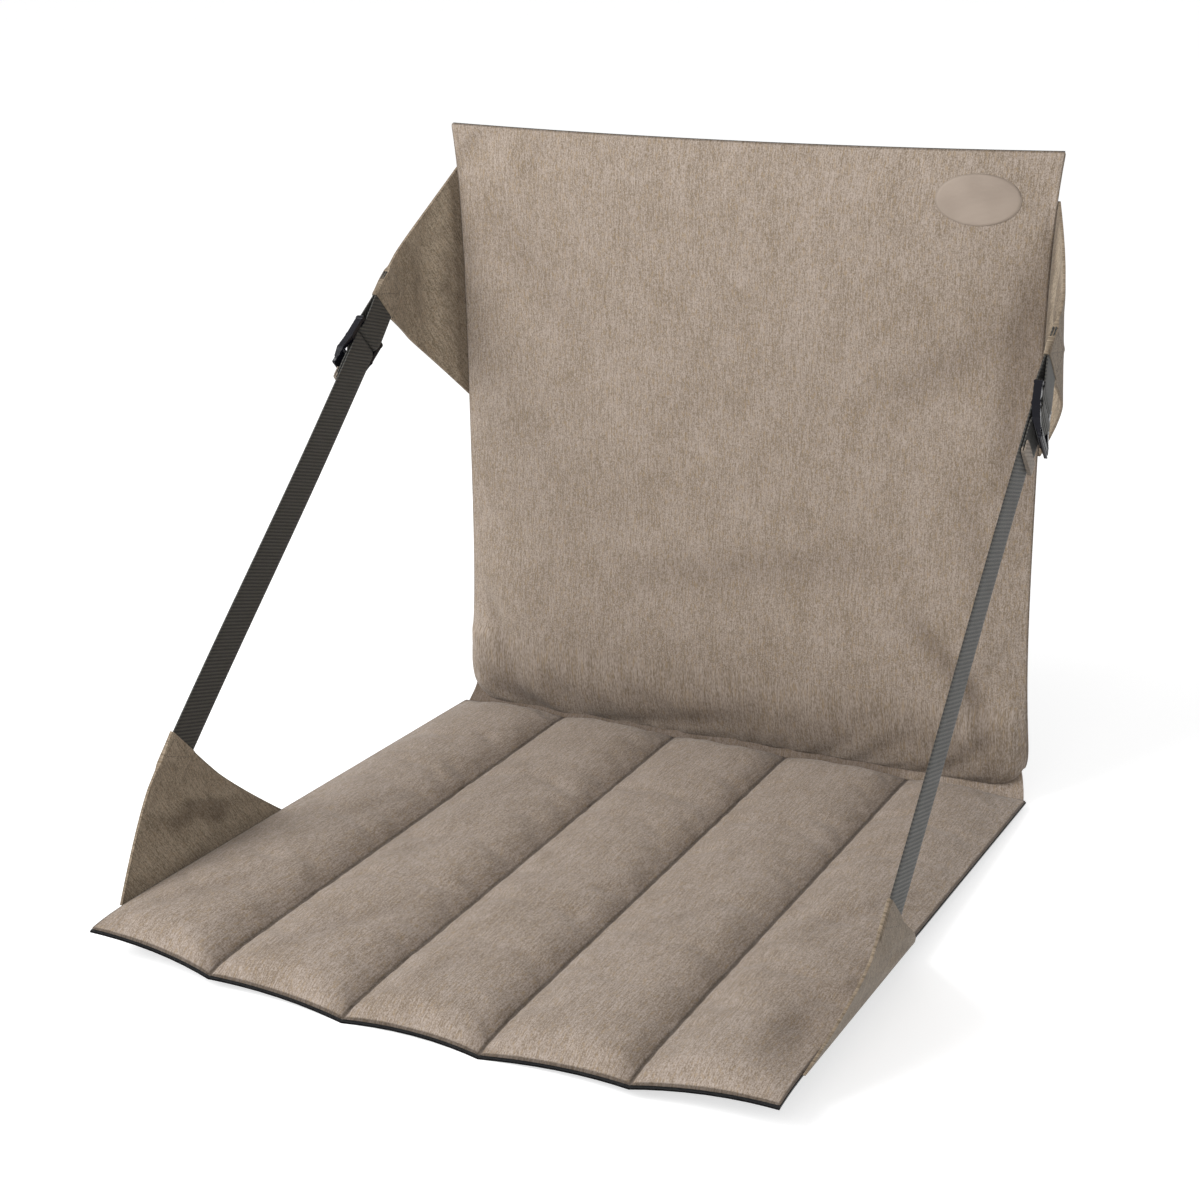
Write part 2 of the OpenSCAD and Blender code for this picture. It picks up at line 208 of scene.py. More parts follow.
def write_values(obj: Object, name: str, values: Array) -> None:
    """Stores one value for each point: its distance from the nearest seam or edge, or how much painted shade it gets.

    Args:
        obj: A mesh object.
        name: The attribute's name.
        values: One value for each point.
    """
    attribute = obj.data.attributes.get(name) or obj.data.attributes.new(name, "FLOAT", "POINT")
    attribute.data.foreach_set("value", values.astype(np.float32))


def shade(obj: Object, angle: float) -> None:
    """Shades a mesh smooth, apart from edges sharper than an angle.

    Args:
        obj: A mesh object.
        angle: The sharpest edge that is still smooth, in degrees.
    """
    pick(obj)
    bpy.ops.object.shade_smooth_by_angle(angle=math.radians(angle), keep_sharp_edges=False)


def doubled_sheet(name: str, us: Array, vs: Array, face: Surface, lining: Surface, flat: Surface) -> Object:
    """Models a closed layer between two surfaces: a grid that gets a second side and a rim.

    Args:
        name: The piece's name.
        us: Stations of the columns.
        vs: Stations of the rows.
        face: Place of the outer side at given stations.
        lining: Place of the inner side at given stations.
        flat: Flat place of the cloth at given stations.

    Returns:
        The new mesh object.
    """
    columns, rows = len(us) - 1, len(vs) - 1
    bpy.ops.mesh.primitive_grid_add(x_subdivisions=columns, y_subdivisions=rows, size=2.0, calc_uvs=False)
    obj = bpy.context.active_object
    obj.name = obj.data.name = name
    lattice = coords(obj)
    u = us[np.rint((lattice[:, 0] + 1) / 2 * columns).astype(int)]
    v = vs[np.rint((lattice[:, 1] + 1) / 2 * rows).astype(int)]
    finish_with(obj, "SOLIDIFY", thickness=0.1, offset=-1.0)
    set_coords(obj, np.vstack([face(u, v), lining(u, v)]))
    write_map(obj, np.vstack([flat(u, v), flat(u, v)]))
    turn_outward(obj)
    return obj


def eased(count: int, even: float) -> Array:
    """Stations from -1 to 1 that lie closer together toward both ends.

    Args:
        count: Number of steps.
        even: Share of even spacing, from 0 to 1.

    Returns:
        The stations.
    """
    line = np.linspace(-1, 1, count + 1)
    return even * line + (1 - even) * np.sin(line * np.pi / 2)


def smooth(low: float, high: float, value: Array) -> Array:
    """Rises smoothly from 0 to 1 between two values.

    Args:
        low: Where the rise starts.
        high: Where the rise ends.
        value: Values to map.

    Returns:
        The share for each value.
    """
    t = np.clip((value - low) / (high - low), 0, 1)
    return t * t * (3 - 2 * t)


def ripple(x: Array, y: Array, seed: float) -> Array:
    """Repeatable smooth noise with about one wave in two units.

    Args:
        x: First coordinate.
        y: Second coordinate.
        seed: Picks the pattern.

    Returns:
        Values from -1 to 1.
    """
    def lattice(i: Array, j: Array) -> Array:
        """One fixed value from 0 to 1 for each lattice point."""
        value = np.sin(i * 127.1 + j * 311.7 + seed * 74.7) * 43758.5453
        return value - np.floor(value)

    i, j = np.floor(x), np.floor(y)
    a, b = x - i, y - j
    a, b = a * a * (3 - 2 * a), b * b * (3 - 2 * b)
    low = lattice(i, j) * (1 - a) + lattice(i + 1, j) * a
    high = lattice(i, j + 1) * (1 - a) + lattice(i + 1, j + 1) * a
    return 2 * (low * (1 - b) + high * b) - 1


@dataclass(frozen=True)
class Waves:
    """A field of soft waves in cloth."""

    height: float
    across: float
    along: float
    seed: float

    def at(self, x: Array, y: Array) -> Array:
        """Height of the waves at places on the cloth."""
        return self.height * ripple(x / self.across, y / self.along, self.seed)


@dataclass(frozen=True)
class Crease:
    """A soft crease in cloth, with the bottom's depth and half the width."""

    start: Place
    end: Place
    width: float
    depth: float

    def at(self, x: Array, y: Array) -> Array:
        """Depth of the crease at places on the cloth."""
        run = np.subtract(self.end, self.start)
        length = float(np.hypot(*run))
        along = ((x - self.start[0]) * run[0] + (y - self.start[1]) * run[1]) / length ** 2
        off = ((x - self.start[0]) * run[1] - (y - self.start[1]) * run[0]) / length
        return self.depth * np.exp(-(off / self.width) ** 2) * smooth(-0.2, 0.35, along) * smooth(1.2, 0.65, along)


def inflate(obj: Object, held: Array, pressure: float, slack: float, cap: float, frames: int = 20) -> None:
    """Lets a padded piece swell as cloth over its filling, and keeps the result in the mesh.

    Args:
        obj: A closed mesh object.
        held: True for each point that stays where it is.
        pressure: Push of the filling on the cloth.
        slack: Share by which the cloth is longer than the shape it starts from.
        cap: Longest way that a point may move.
        frames: Number of steps.
    """
    start = coords(obj)
    group = obj.vertex_groups.new(name="held")
    group.add([int(i) for i in np.flatnonzero(held)], 1.0, "REPLACE")
    modifier = obj.modifiers.new("Swell", "CLOTH")
    cloth = modifier.settings
    cloth.quality = 6
    cloth.vertex_group_mass = group.name
    cloth.use_pressure = True
    cloth.uniform_pressure_force = pressure
    cloth.shrink_min = -slack
    cloth.tension_stiffness = cloth.compression_stiffness = 12
    cloth.bending_stiffness = 0.3
    cloth.effector_weights.gravity = 0
    modifier.collision_settings.use_collision = False
    modifier.point_cache.frame_start = 1
    modifier.point_cache.frame_end = frames
    for number in range(1, frames + 1):
        bpy.context.scene.frame_set(number)
    swollen = obj.evaluated_get(bpy.context.evaluated_depsgraph_get())
    moved = coords(swollen) - start
    length = np.linalg.norm(moved, axis=1, keepdims=True)
    moved *= cap * np.tanh(length / cap) / np.maximum(length, 1e-9)
    obj.modifiers.remove(modifier)
    obj.vertex_groups.remove(group)
    set_coords(obj, start + moved)
    LOG.info("%s: the cloth moved up to %.1f mm", obj.name, 1000 * float(np.linalg.norm(moved, axis=1).max()))


class Landing:
    """The finished surface of a piece, for what is sewn onto it."""

    def __init__(self, obj: Object) -> None:
        """Reads the surface.

        Args:
            obj: The mesh object that carries the other piece.
        """
        faces = [tuple(p.vertices) for p in obj.data.polygons]
        self.tree = BVHTree.FromPolygons([v.co for v in obj.data.vertices], faces)

    def drop(self, points: Array, direction: Sequence[float]) -> tuple[Array, Array]:
        """Moves points along a direction until they land on the surface.

        Args:
            points: Places off the surface.
            direction: The way that they move.

        Returns:
            The places on the surface, and the surface's normals there.
        """
        landed, normals = points.copy(), np.tile(-np.array(direction, float), (len(points), 1))
        for i, point in enumerate(points):
            hit, normal, _, _ = self.tree.ray_cast(Vector(point), Vector(direction))
            if hit is not None:
                landed[i], normals[i] = hit, normal
        return landed, normals


def spans(path: Array) -> Array:
    """Distances from each point of a path to the next."""
    return np.linalg.norm(np.diff(path, axis=0), axis=1)


def resample(path: Array, step: float) -> Array:
    """Places points at an even distance along a path.

    Args:
        path: Corner points of the path, with any values carried along after the three coordinates.
        step: Distance wanted between the new points.

    Returns:
        The new points, first and last ones included.
    """
    at = np.concatenate([[0], np.cumsum(spans(path[:, :3]))])
    count = max(2, int(round(at[-1] / step)) + 1)
    wanted = np.linspace(0, at[-1], count)
    return np.stack([np.interp(wanted, at, path[:, k]) for k in range(path.shape[1])], axis=1)


# ---- Shader tools


def add_node(tree: Tree, kind: str, inputs: dict[str | int, object] | None = None, **settings: object) -> Node:
    """Adds a shader node, sets it up and links or fills its inputs.

    Args:
        tree: The node tree.
        kind: Blender's name for the node's type, after "ShaderNode".
        inputs: Input names or numbers with an output socket or a value for each.
        settings: Values for the node itself.

    Returns:
        The new node.
    """
    node = tree.nodes.new("ShaderNode" + kind)
    for name, value in settings.items():
        setattr(node, name, value)
    for name, value in (inputs or {}).items():
        if isinstance(value, Socket):
            tree.links.new(value, node.inputs[name])
        else:
            node.inputs[name].default_value = value
    return node


def maths(tree: Tree, operation: str, *values: object) -> Socket:
    """Adds a maths node for an operation on sockets or numbers, and returns its result's socket."""
    return add_node(tree, "Math", dict(enumerate(values)), operation=operation).outputs[0]


def blended(tree: Tree, share: object, first: object, second: object, mode: str = "MIX") -> Socket:
    """Mixes two colours.

    Args:
        tree: The node tree.
        share: How much of the second colour, as a socket or a number.
        first: The first colour.
        second: The second colour.
        mode: Blender's name for the way of mixing.

    Returns:
        The mixed colour's socket.
    """
    return add_node(tree, "Mix", {0: share, 6: first, 7: second}, data_type="RGBA", blend_type=mode).outputs[2]


def ranged(tree: Tree, value: object, low: object, high: object, start: object = 0.0, end: object = 1.0) -> Socket:
    """Maps a value from one range to another, smoothly and clamped.

    Args:
        tree: The node tree.
        value: The value's socket.
        low: Start of its range.
        high: End of its range.
        start: Result at the start.
        end: Result at the end.

    Returns:
        The result's socket.
    """
    filled = {"Value": value, "From Min": low, "From Max": high, "To Min": start, "To Max": end}
    return add_node(tree, "MapRange", filled, interpolation_type="SMOOTHSTEP").outputs[0]


def noise(tree: Tree, place: Socket, scale: object, detail: float = 2.0, roughness: float = 0.5) -> Socket:
    """Adds noise.

    Args:
        tree: The node tree.
        place: The socket of the place.
        scale: Number of waves in a metre.
        detail: How many finer layers it has.
        roughness: How strong they are.

    Returns:
        The noise's socket.
    """
    return add_node(tree, "TexNoise", {"Vector": place, "Scale": scale, "Detail": detail,
                                       "Roughness": roughness}).outputs[0]


def cloth_place(tree: Tree) -> Socket:
    """Adds the flat place on the cloth."""
    return add_node(tree, "UVMap", uv_map=CLOTH_MAP).outputs[0]


def object_place(tree: Tree) -> Socket:
    """Adds the place in the object's own frame."""
    return add_node(tree, "TexCoord").outputs["Object"]


def stored(tree: Tree, name: str) -> Socket:
    """Adds a value that the mesh stores for each point."""
    return add_node(tree, "Attribute", attribute_name=name).outputs["Fac"]


def rgba(colour: Colour) -> tuple[float, float, float, float]:
    """Adds full alpha to a colour."""
    return (*colour, 1.0)


def new_group(name: str, inputs: dict[str, str | float],
              outputs: dict[str, str]) -> tuple[Tree, bpy.types.NodeOutputs, bpy.types.NodeInputs]:
    """Starts a shader node group with named sockets.

    Args:
        name: The group's name.
        inputs: For each input its socket type, or the first value of a plain number.
        outputs: The socket type of each output.

    Returns:
        The group, the sockets that bring values in and those that take values out.
    """
    group = bpy.data.node_groups.new(name, "ShaderNodeTree")
    for title, value in inputs.items():
        number = not isinstance(value, str)
        socket = group.interface.new_socket(title, in_out="INPUT", socket_type=FLOAT if number else value)
        if number:
            socket.default_value = value
    for title, kind in outputs.items():
        group.interface.new_socket(title, in_out="OUTPUT", socket_type=kind)
    return group, group.nodes.new("NodeGroupInput").outputs, group.nodes.new("NodeGroupOutput").inputs


@cache
def melange() -> Tree:
    """Builds the group of mixed yarns that run along the second axis of the flat cloth.

    Returns:
        A group that puts out the colour and a height for the yarns.
    """
    group, ins, outs = new_group("melange_yarns", {"Vector": VECTOR, "Light": COLOR, "Dark": COLOR, "Fleck": COLOR,
                                                   "Yarn": 0.0007}, {"Color": COLOR, "Height": FLOAT})
    parts = add_node(group, "SeparateXYZ", {0: ins["Vector"]})
    x = maths(group, "DIVIDE", parts.outputs[0], ins["Yarn"])
    y = maths(group, "DIVIDE", parts.outputs[1], ins["Yarn"])

    def streaks(width: float, length: float, detail: float, shift: float) -> Socket:
        """Noise in streaks of a width and a length in yarns."""
        at = add_node(group, "CombineXYZ", {0: maths(group, "DIVIDE", x, width),
                                            1: maths(group, "DIVIDE", y, length), 2: shift})
        return noise(group, at.outputs[0], 1.0, detail, 0.6)

    long_yarn = streaks(1.2, 14.0, 2.0, 0.3)
    short_yarn = streaks(1.0, 3.5, 2.0, 5.1)
    grain = streaks(1.1, 1.3, 1.0, 7.3)
    fleck = streaks(1.4, 6.0, 1.0, 9.7)
    cloud = streaks(30.0, 50.0, 3.0, 2.2)
    tone = maths(group, "MULTIPLY", grain, 0.32)
    for yarns, share in ((long_yarn, 0.28), (short_yarn, 0.28), (cloud, 0.12)):
        tone = maths(group, "ADD", tone, maths(group, "MULTIPLY", yarns, share))
    spread = maths(group, "MULTIPLY", maths(group, "SUBTRACT", tone, 0.5), 6.0)
    tone = add_node(group, "Clamp", {0: maths(group, "ADD", spread, 0.5)}).outputs[0]
    spots = maths(group, "MULTIPLY", ranged(group, fleck, 0.56, 0.68), 0.55)
    group.links.new(blended(group, spots, blended(group, tone, ins["Dark"], ins["Light"]), ins["Fleck"]),
                    outs["Color"])
    ribs, picks = (maths(group, "SINE", maths(group, "MULTIPLY", way, 2 * math.pi)) for way in (x, y))
    weave = maths(group, "MULTIPLY", maths(group, "MULTIPLY", ribs, picks), 0.2)
    group.links.new(maths(group, "ADD", maths(group, "ADD", weave, short_yarn), grain), outs["Height"])
    return group


@cache
def seam_line() -> Tree:
    """Builds the group of a thin painted line where a piece of cloth is turned in or stitched down: painted shade, or
    a painted highlight where its tint is lighter than 1.

    Returns:
        A group that puts out the line's mask.
    """
    group, ins, outs = new_group("seam_line", {"Gap": 0.0, "Width": 0.001, "Strength": 1.0}, {"Mask": FLOAT})
    line = ranged(group, ins["Gap"], maths(group, "MULTIPLY", ins["Width"], 0.35), ins["Width"], 1.0, 0.0)
    group.links.new(maths(group, "MULTIPLY", line, ins["Strength"]), outs["Mask"])
    return group


@cache
def handling() -> Tree:
    """Builds the group of faint uneven dullness from use.

    Returns:
        A group that puts out a value round 0 for roughness.
    """
    group, ins, outs = new_group("handling", {"Vector": VECTOR, "Scale": 30.0, "Amount": 0.1}, {"Value": FLOAT})
    uneven = maths(group, "SUBTRACT", noise(group, ins["Vector"], ins["Scale"], 5.0, 0.65), 0.5)
    group.links.new(maths(group, "MULTIPLY", uneven, ins["Amount"]), outs["Value"])
    return group


def roughen(tree: Tree, shader: Node, place: Socket, level: float, scale: float, amount: float) -> None:
    """Feeds a shader's roughness, with dullness from use.

    Args:
        tree: The material's node tree.
        shader: The shader.
        place: The socket of the place.
        level: The roughness without wear.
        scale: Scale of the wear.
        amount: Its strength.
    """
    worn = add_node(tree, "Group", {"Vector": place, "Scale": scale, "Amount": amount}, node_tree=handling())
    tree.links.new(maths(tree, "ADD", worn.outputs[0], level), shader.inputs["Roughness"])


def raise_surface(tree: Tree, shader: Node, height: Socket, strength: float, distance: float) -> None:
    """Feeds a height to a shader's normal.

    Args:
        tree: The material's node tree.
        shader: The shader that gets the normal.
        height: The height's socket.
        strength: Strength of the bump.
        distance: Height of the bump in metres.
    """
    bump = add_node(tree, "Bump", {"Height": height, "Strength": strength, "Distance": distance})
    tree.links.new(bump.outputs[0], shader.inputs["Normal"])


def settle(shader: Node, values: dict[str, object]) -> None:
    """Sets a shader's constant inputs by name."""
    for name, value in values.items():
        shader.inputs[name].default_value = value


# ---- Finishes


@dataclass(frozen=True)
class Finish:
    """A finish that makes one material."""

    name: str

    def paint(self, tree: Tree, shader: Node) -> None:
        """Lays out the material's nodes.

        Args:
            tree: The material's node tree.
            shader: Its Principled BSDF.
        """
        raise NotImplementedError

    def build(self) -> Material:
        """Makes the material."""
        material = bpy.data.materials.new(self.name)
        material.use_nodes = True
        self.paint(material.node_tree, material.node_tree.nodes["Principled BSDF"])
        return material


@dataclass(frozen=True)
class HeatheredCloth(Finish):
    """Woven polyester of mixed yarns, with a fine painted line at its seams and turned edges, which is painted shade
    or, with a pale tint, a painted highlight, and with painted shade where the mesh asks for it.
    """

    light: Colour
    dark: Colour
    fleck: Colour
    turn: float = 0.0
    yarn: float = 0.0007
    line_width: float = 0.001
    line_strength: float = 0.5
    # line_tint colours the painted line: darker than 1 it is painted shade, lighter than 1 a painted highlight. The
    # tint after it colours full painted shade.
    line_tint: Colour = (0.22, 0.2, 0.18)
    painted_shade_tint: Colour = (0.5, 0.47, 0.45)
    sheen: float = 0.12
    roughness: float = 0.86
    relief: float = 0.00035

    def paint(self, tree: Tree, shader: Node) -> None:
        """Lays out yarns, then the painted line at the seams and edges, then the painted shade that the mesh stores.
        """
        flat = cloth_place(tree)
        turned = add_node(tree, "Mapping", {"Vector": flat, "Rotation": (0.0, 0.0, math.radians(self.turn))})
        yarns = add_node(tree, "Group", {
            "Vector": turned.outputs[0], "Light": rgba(self.light), "Dark": rgba(self.dark),
            "Fleck": rgba(self.fleck), "Yarn": self.yarn}, node_tree=melange())
        line = add_node(tree, "Group", {"Gap": stored(tree, SEAM_GAP), "Width": self.line_width,
                                        "Strength": self.line_strength}, node_tree=seam_line()).outputs[0]
        # Painted line at seams and edges: painted shade, or on the wings a painted highlight.
        painted_line_colour = blended(tree, 1.0, yarns.outputs["Color"], rgba(self.line_tint), "MULTIPLY")
        lined = blended(tree, line, yarns.outputs["Color"], painted_line_colour)
        # Painted shade: the colour darkened by the painted shade tint, as much as the mesh's fold_shade asks.
        fully_shaded = blended(tree, 1.0, lined, rgba(self.painted_shade_tint), "MULTIPLY")
        tree.links.new(blended(tree, stored(tree, FOLD_SHADE), lined, fully_shaded), shader.inputs["Base Color"])
        roughen(tree, shader, flat, self.roughness, 28.0, 0.12)
        settle(shader, {"Sheen Weight": self.sheen, "Sheen Roughness": 0.5, "Specular IOR Level": 0.25})
        raise_surface(tree, shader, yarns.outputs["Height"], 0.4, self.relief)


@dataclass(frozen=True)
class CoatedCloth(Finish):
    """Black polyester with a matt rubbery coating and some dust."""

    colour: Colour = (0.012, 0.012, 0.013)
    dust: Colour = (0.035, 0.034, 0.033)
    roughness: float = 0.62
    relief: float = 0.0003

    def paint(self, tree: Tree, shader: Node) -> None:
        """Lays out the coating, its dust and its grain."""
        flat = cloth_place(tree)
        grain = add_node(tree, "TexVoronoi", {"Vector": flat, "Scale": 900.0}, distance="EUCLIDEAN")
        dusty = ranged(tree, noise(tree, flat, 35.0, 6.0), 0.45, 0.8, 0.0, 0.5)
        tree.links.new(blended(tree, dusty, rgba(self.colour), rgba(self.dust)), shader.inputs["Base Color"])
        roughen(tree, shader, flat, self.roughness, 40.0, 0.25)
        raise_surface(tree, shader, grain.outputs["Distance"], 0.4, self.relief)


@dataclass(frozen=True)
class TwillWebbing(Finish):
    """Flat polyester webbing with slanted ribs across it and a folded, lighter end."""

    light: Colour = (0.052, 0.049, 0.039)
    dark: Colour = (0.008, 0.0075, 0.007)
    rib: float = 0.0026
    thread: float = 0.0008
    slant: float = 0.6
    end_from: float = 0.361
    end_colour: Colour = (0.3, 0.235, 0.18)
    roughness: float = 0.68
    relief: float = 0.00022

    def paint(self, tree: Tree, shader: Node) -> None:
        """Lays out the ribs and the end."""
        flat = cloth_place(tree)
        parts = add_node(tree, "SeparateXYZ", {0: flat})
        slanted = maths(tree, "ADD", parts.outputs[1], maths(tree, "MULTIPLY", parts.outputs[0], self.slant))
        wave = maths(tree, "SINE", maths(tree, "MULTIPLY", slanted, 2 * math.pi / self.rib))
        thread = maths(tree, "SINE", maths(tree, "MULTIPLY", parts.outputs[0], 2 * math.pi / self.thread))
        fuzz = noise(tree, flat, 700.0, 3.0)
        height = maths(tree, "ADD", wave, maths(tree, "MULTIPLY", thread, 0.35))
        tone = maths(tree, "ADD", ranged(tree, height, -1.1, 1.2), maths(tree, "MULTIPLY", fuzz, 0.5))
        colour = blended(tree, maths(tree, "SUBTRACT", tone, 0.25), rgba(self.dark), rgba(self.light))
        end = ranged(tree, parts.outputs[1], self.end_from, self.end_from + 0.0015)
        colour = blended(tree, end, colour, blended(tree, fuzz, rgba(self.end_colour), rgba(self.light)))
        tree.links.new(colour, shader.inputs["Base Color"])
        roughen(tree, shader, flat, self.roughness, 60.0, 0.2)
        settle(shader, {"Sheen Weight": 0.1})
        raise_surface(tree, shader, height, 0.6, self.relief)


@dataclass(frozen=True)
class PolishedPlastic(Finish):
    """Glossy black moulded plastic with a few scuffs."""

    colour: Colour = (0.004, 0.004, 0.007)
    scuff: Colour = (0.02, 0.02, 0.028)
    roughness: float = 0.2
    relief: float = 0.0003

    def paint(self, tree: Tree, shader: Node) -> None:
        """Lays out the scuffs and the faint unevenness of a moulding."""
        place = object_place(tree)
        peel = noise(tree, place, 260.0)
        scuffed = ranged(tree, noise(tree, place, 900.0, 4.0), 0.6, 0.8, 0.0, 0.5)
        tree.links.new(blended(tree, scuffed, rgba(self.colour), rgba(self.scuff)), shader.inputs["Base Color"])
        roughen(tree, shader, place, self.roughness, 120.0, 0.25)
        settle(shader, {"Specular IOR Level": 0.22, "Coat Weight": 0.12, "Coat Roughness": 0.08})
        raise_surface(tree, shader, peel, 0.12, self.relief)


@dataclass(frozen=True)
class SewingThread(Finish):
    """Twisted polyester thread."""

    colour: Colour
    roughness: float = 0.6
    relief: float = 0.0002

    def paint(self, tree: Tree, shader: Node) -> None:
        """Lays out the twist."""
        place = object_place(tree)
        twist = noise(tree, place, 2200.0)
        darker = tuple(0.55 * c for c in self.colour)
        tree.links.new(blended(tree, twist, rgba(darker), rgba(self.colour)), shader.inputs["Base Color"])
        roughen(tree, shader, place, self.roughness, 300.0, 0.2)
        raise_surface(tree, shader, twist, 0.5, self.relief)


@dataclass(frozen=True)
class PatchCloth(Finish):
    """Smooth, finely woven cloth of the plain oval patch."""

    light: Colour = (0.29, 0.235, 0.19)
    dark: Colour = (0.25, 0.2, 0.16)
    rim: Colour = (0.12, 0.095, 0.07)
    rib: float = 0.0007
    roughness: float = 0.7
    relief: float = 0.00012

    def paint(self, tree: Tree, shader: Node) -> None:
        """Lays out the cloth, its fine ribs and the line at its rim."""
        flat = cloth_place(tree)
        parts = add_node(tree, "SeparateXYZ", {0: flat})
        ribs = maths(tree, "SINE", maths(tree, "MULTIPLY", parts.outputs[1], 2 * math.pi / self.rib))
        cloud = ranged(tree, noise(tree, flat, 45.0, 1.0), 0.3, 0.7)
        line = add_node(tree, "Group", {"Gap": stored(tree, SEAM_GAP), "Width": 0.0009, "Strength": 0.3},
                        node_tree=seam_line()).outputs[0]
        colour = blended(tree, line, blended(tree, cloud, rgba(self.dark), rgba(self.light)), rgba(self.rim))
        tree.links.new(colour, shader.inputs["Base Color"])
        roughen(tree, shader, flat, self.roughness, 60.0, 0.15)
        raise_surface(tree, shader, ribs, 0.35, self.relief)


@dataclass(frozen=True)
class StudioFloor(Finish):
    """Plain pale floor that glows a little, so that shadows on it stay faint."""

    colour: Colour = (0.6, 0.6, 0.6)
    lighter: Colour = (0.612, 0.612, 0.612)
    glow: float = 0.62

    def paint(self, tree: Tree, shader: Node) -> None:
        """Lays out the pale floor."""
        uneven = noise(tree, object_place(tree), 3.0)
        tree.links.new(blended(tree, uneven, rgba(self.colour), rgba(self.lighter)), shader.inputs["Base Color"])
        settle(shader, {"Roughness": 0.9, "Emission Color": WHITE, "Emission Strength": self.glow})


class Finishes:
    """All the finishes of the chair."""

    def __init__(self) -> None:
        """Builds each material."""
        fleck = (0.26, 0.19, 0.115)
        self.seat_cloth = HeatheredCloth("seat_cloth", (0.35, 0.293, 0.252), (0.185, 0.14, 0.1), fleck,
                                         line_width=0.0019, line_strength=0.8).build()
        # The back's cloth is the seat's cloth made slightly darker, painted shade for the stronger light that the
        # back gets.
        self.back_cloth = HeatheredCloth("back_cloth", (0.335, 0.28, 0.238), (0.17, 0.13, 0.092), fleck).build()
        # The wings' pale line tint paints a highlight along their edges.
        self.wing_cloth = HeatheredCloth("wing_cloth", (0.36, 0.295, 0.22), (0.16, 0.125, 0.085), (0.27, 0.2, 0.13),
                                         turn=-24.0, line_width=0.0008, line_tint=(1.1, 1.09, 1.08)).build()
        self.coated = CoatedCloth("coated_cloth").build()
        self.webbing = TwillWebbing("webbing").build()
        self.plastic = PolishedPlastic("buckle_plastic").build()
        self.pale_thread = SewingThread("pale_thread", (0.3, 0.25, 0.19)).build()
        self.dark_thread = SewingThread("dark_thread", (0.045, 0.036, 0.026)).build()
        self.patch = PatchCloth("patch_cloth").build()


def dress(obj: Object, material: Material, slot: str, *replaced: str) -> None:
    """Gives a piece its finish and hides the CAD nodes that it stands for.

    Args:
        obj: The piece.
        material: Its material.
        slot: A material slot's name; not used.
        replaced: CAD nodes that the piece stands for.
    """
    obj.data.materials.clear()
    obj.data.materials.append(material)
    if replaced:
        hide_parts(*replaced)
    LOG.info("%s: %d faces", obj.name, len(obj.data.polygons))


# ---- Stitching


@dataclass(frozen=True)
class Needlework:
    """Rows of lockstitch."""

    length: float = 0.0026
    pitch: float = 0.0034
    thick: float = 0.00045
    sides: int = 6

    def template(self) -> tuple[Array, list[tuple[int, ...]]]:
        """Models one stitch along +X that dips into the cloth at both ends.

        Returns:
            Its points and its faces.
        """
        bpy.ops.mesh.primitive_cylinder_add(vertices=self.sides, radius=self.thick / 2, depth=self.length,
                                            rotation=(0.0, math.pi / 2, 0.0))
        obj = bpy.context.active_object
        bpy.ops.object.transform_apply(location=True, rotation=True, scale=True)
        finish_with(obj, "BEVEL", width=self.thick * 0.35, segments=1)
        points = coords(obj)
        faces = [tuple(p.vertices) for p in obj.data.polygons]
        points[:, 2] -= 0.9 * self.thick * (2 * np.abs(points[:, 0]) / self.length) ** 2
        bpy.data.objects.remove(obj)
        return points, faces

    def sew(self, name: str, rows: Iterable[Row]) -> Object:
        """Lays stitches along rows of surface points.

        Args:
            name: The piece's name.
            rows: The points of each row, with the surface's normals there.

        Returns:
            One mesh object with all the stitches.
        """
        points, faces = self.template()
        all_points: list[Array] = []
        all_faces: list[tuple[int, ...]] = []
        for path, normals in rows:
            both = resample(np.hstack([path, normals]), self.pitch)
            for start, end in zip(both[:-1], both[1:]):
                middle = (start + end) / 2
                run = end[:3] - start[:3]
                run /= max(np.linalg.norm(run), 1e-9)
                up = middle[3:] - run * float(middle[3:] @ run)
                up /= max(np.linalg.norm(up), 1e-9)
                side = np.cross(up, run)
                base = len(all_points) * len(points)
                all_points.append(middle[:3] + points @ np.stack([run, side, up]) + 0.0001 * up)
                all_faces.extend(tuple(base + i for i in face) for face in faces)
        mesh = bpy.data.meshes.new(name)
        mesh.from_pydata(np.vstack(all_points).tolist(), [], all_faces)
        mesh.update()
        obj = bpy.data.objects.new(name, mesh)
        bpy.context.scene.collection.objects.link(obj)
        shade(obj, 60.0)
        return obj


# ---- Seat


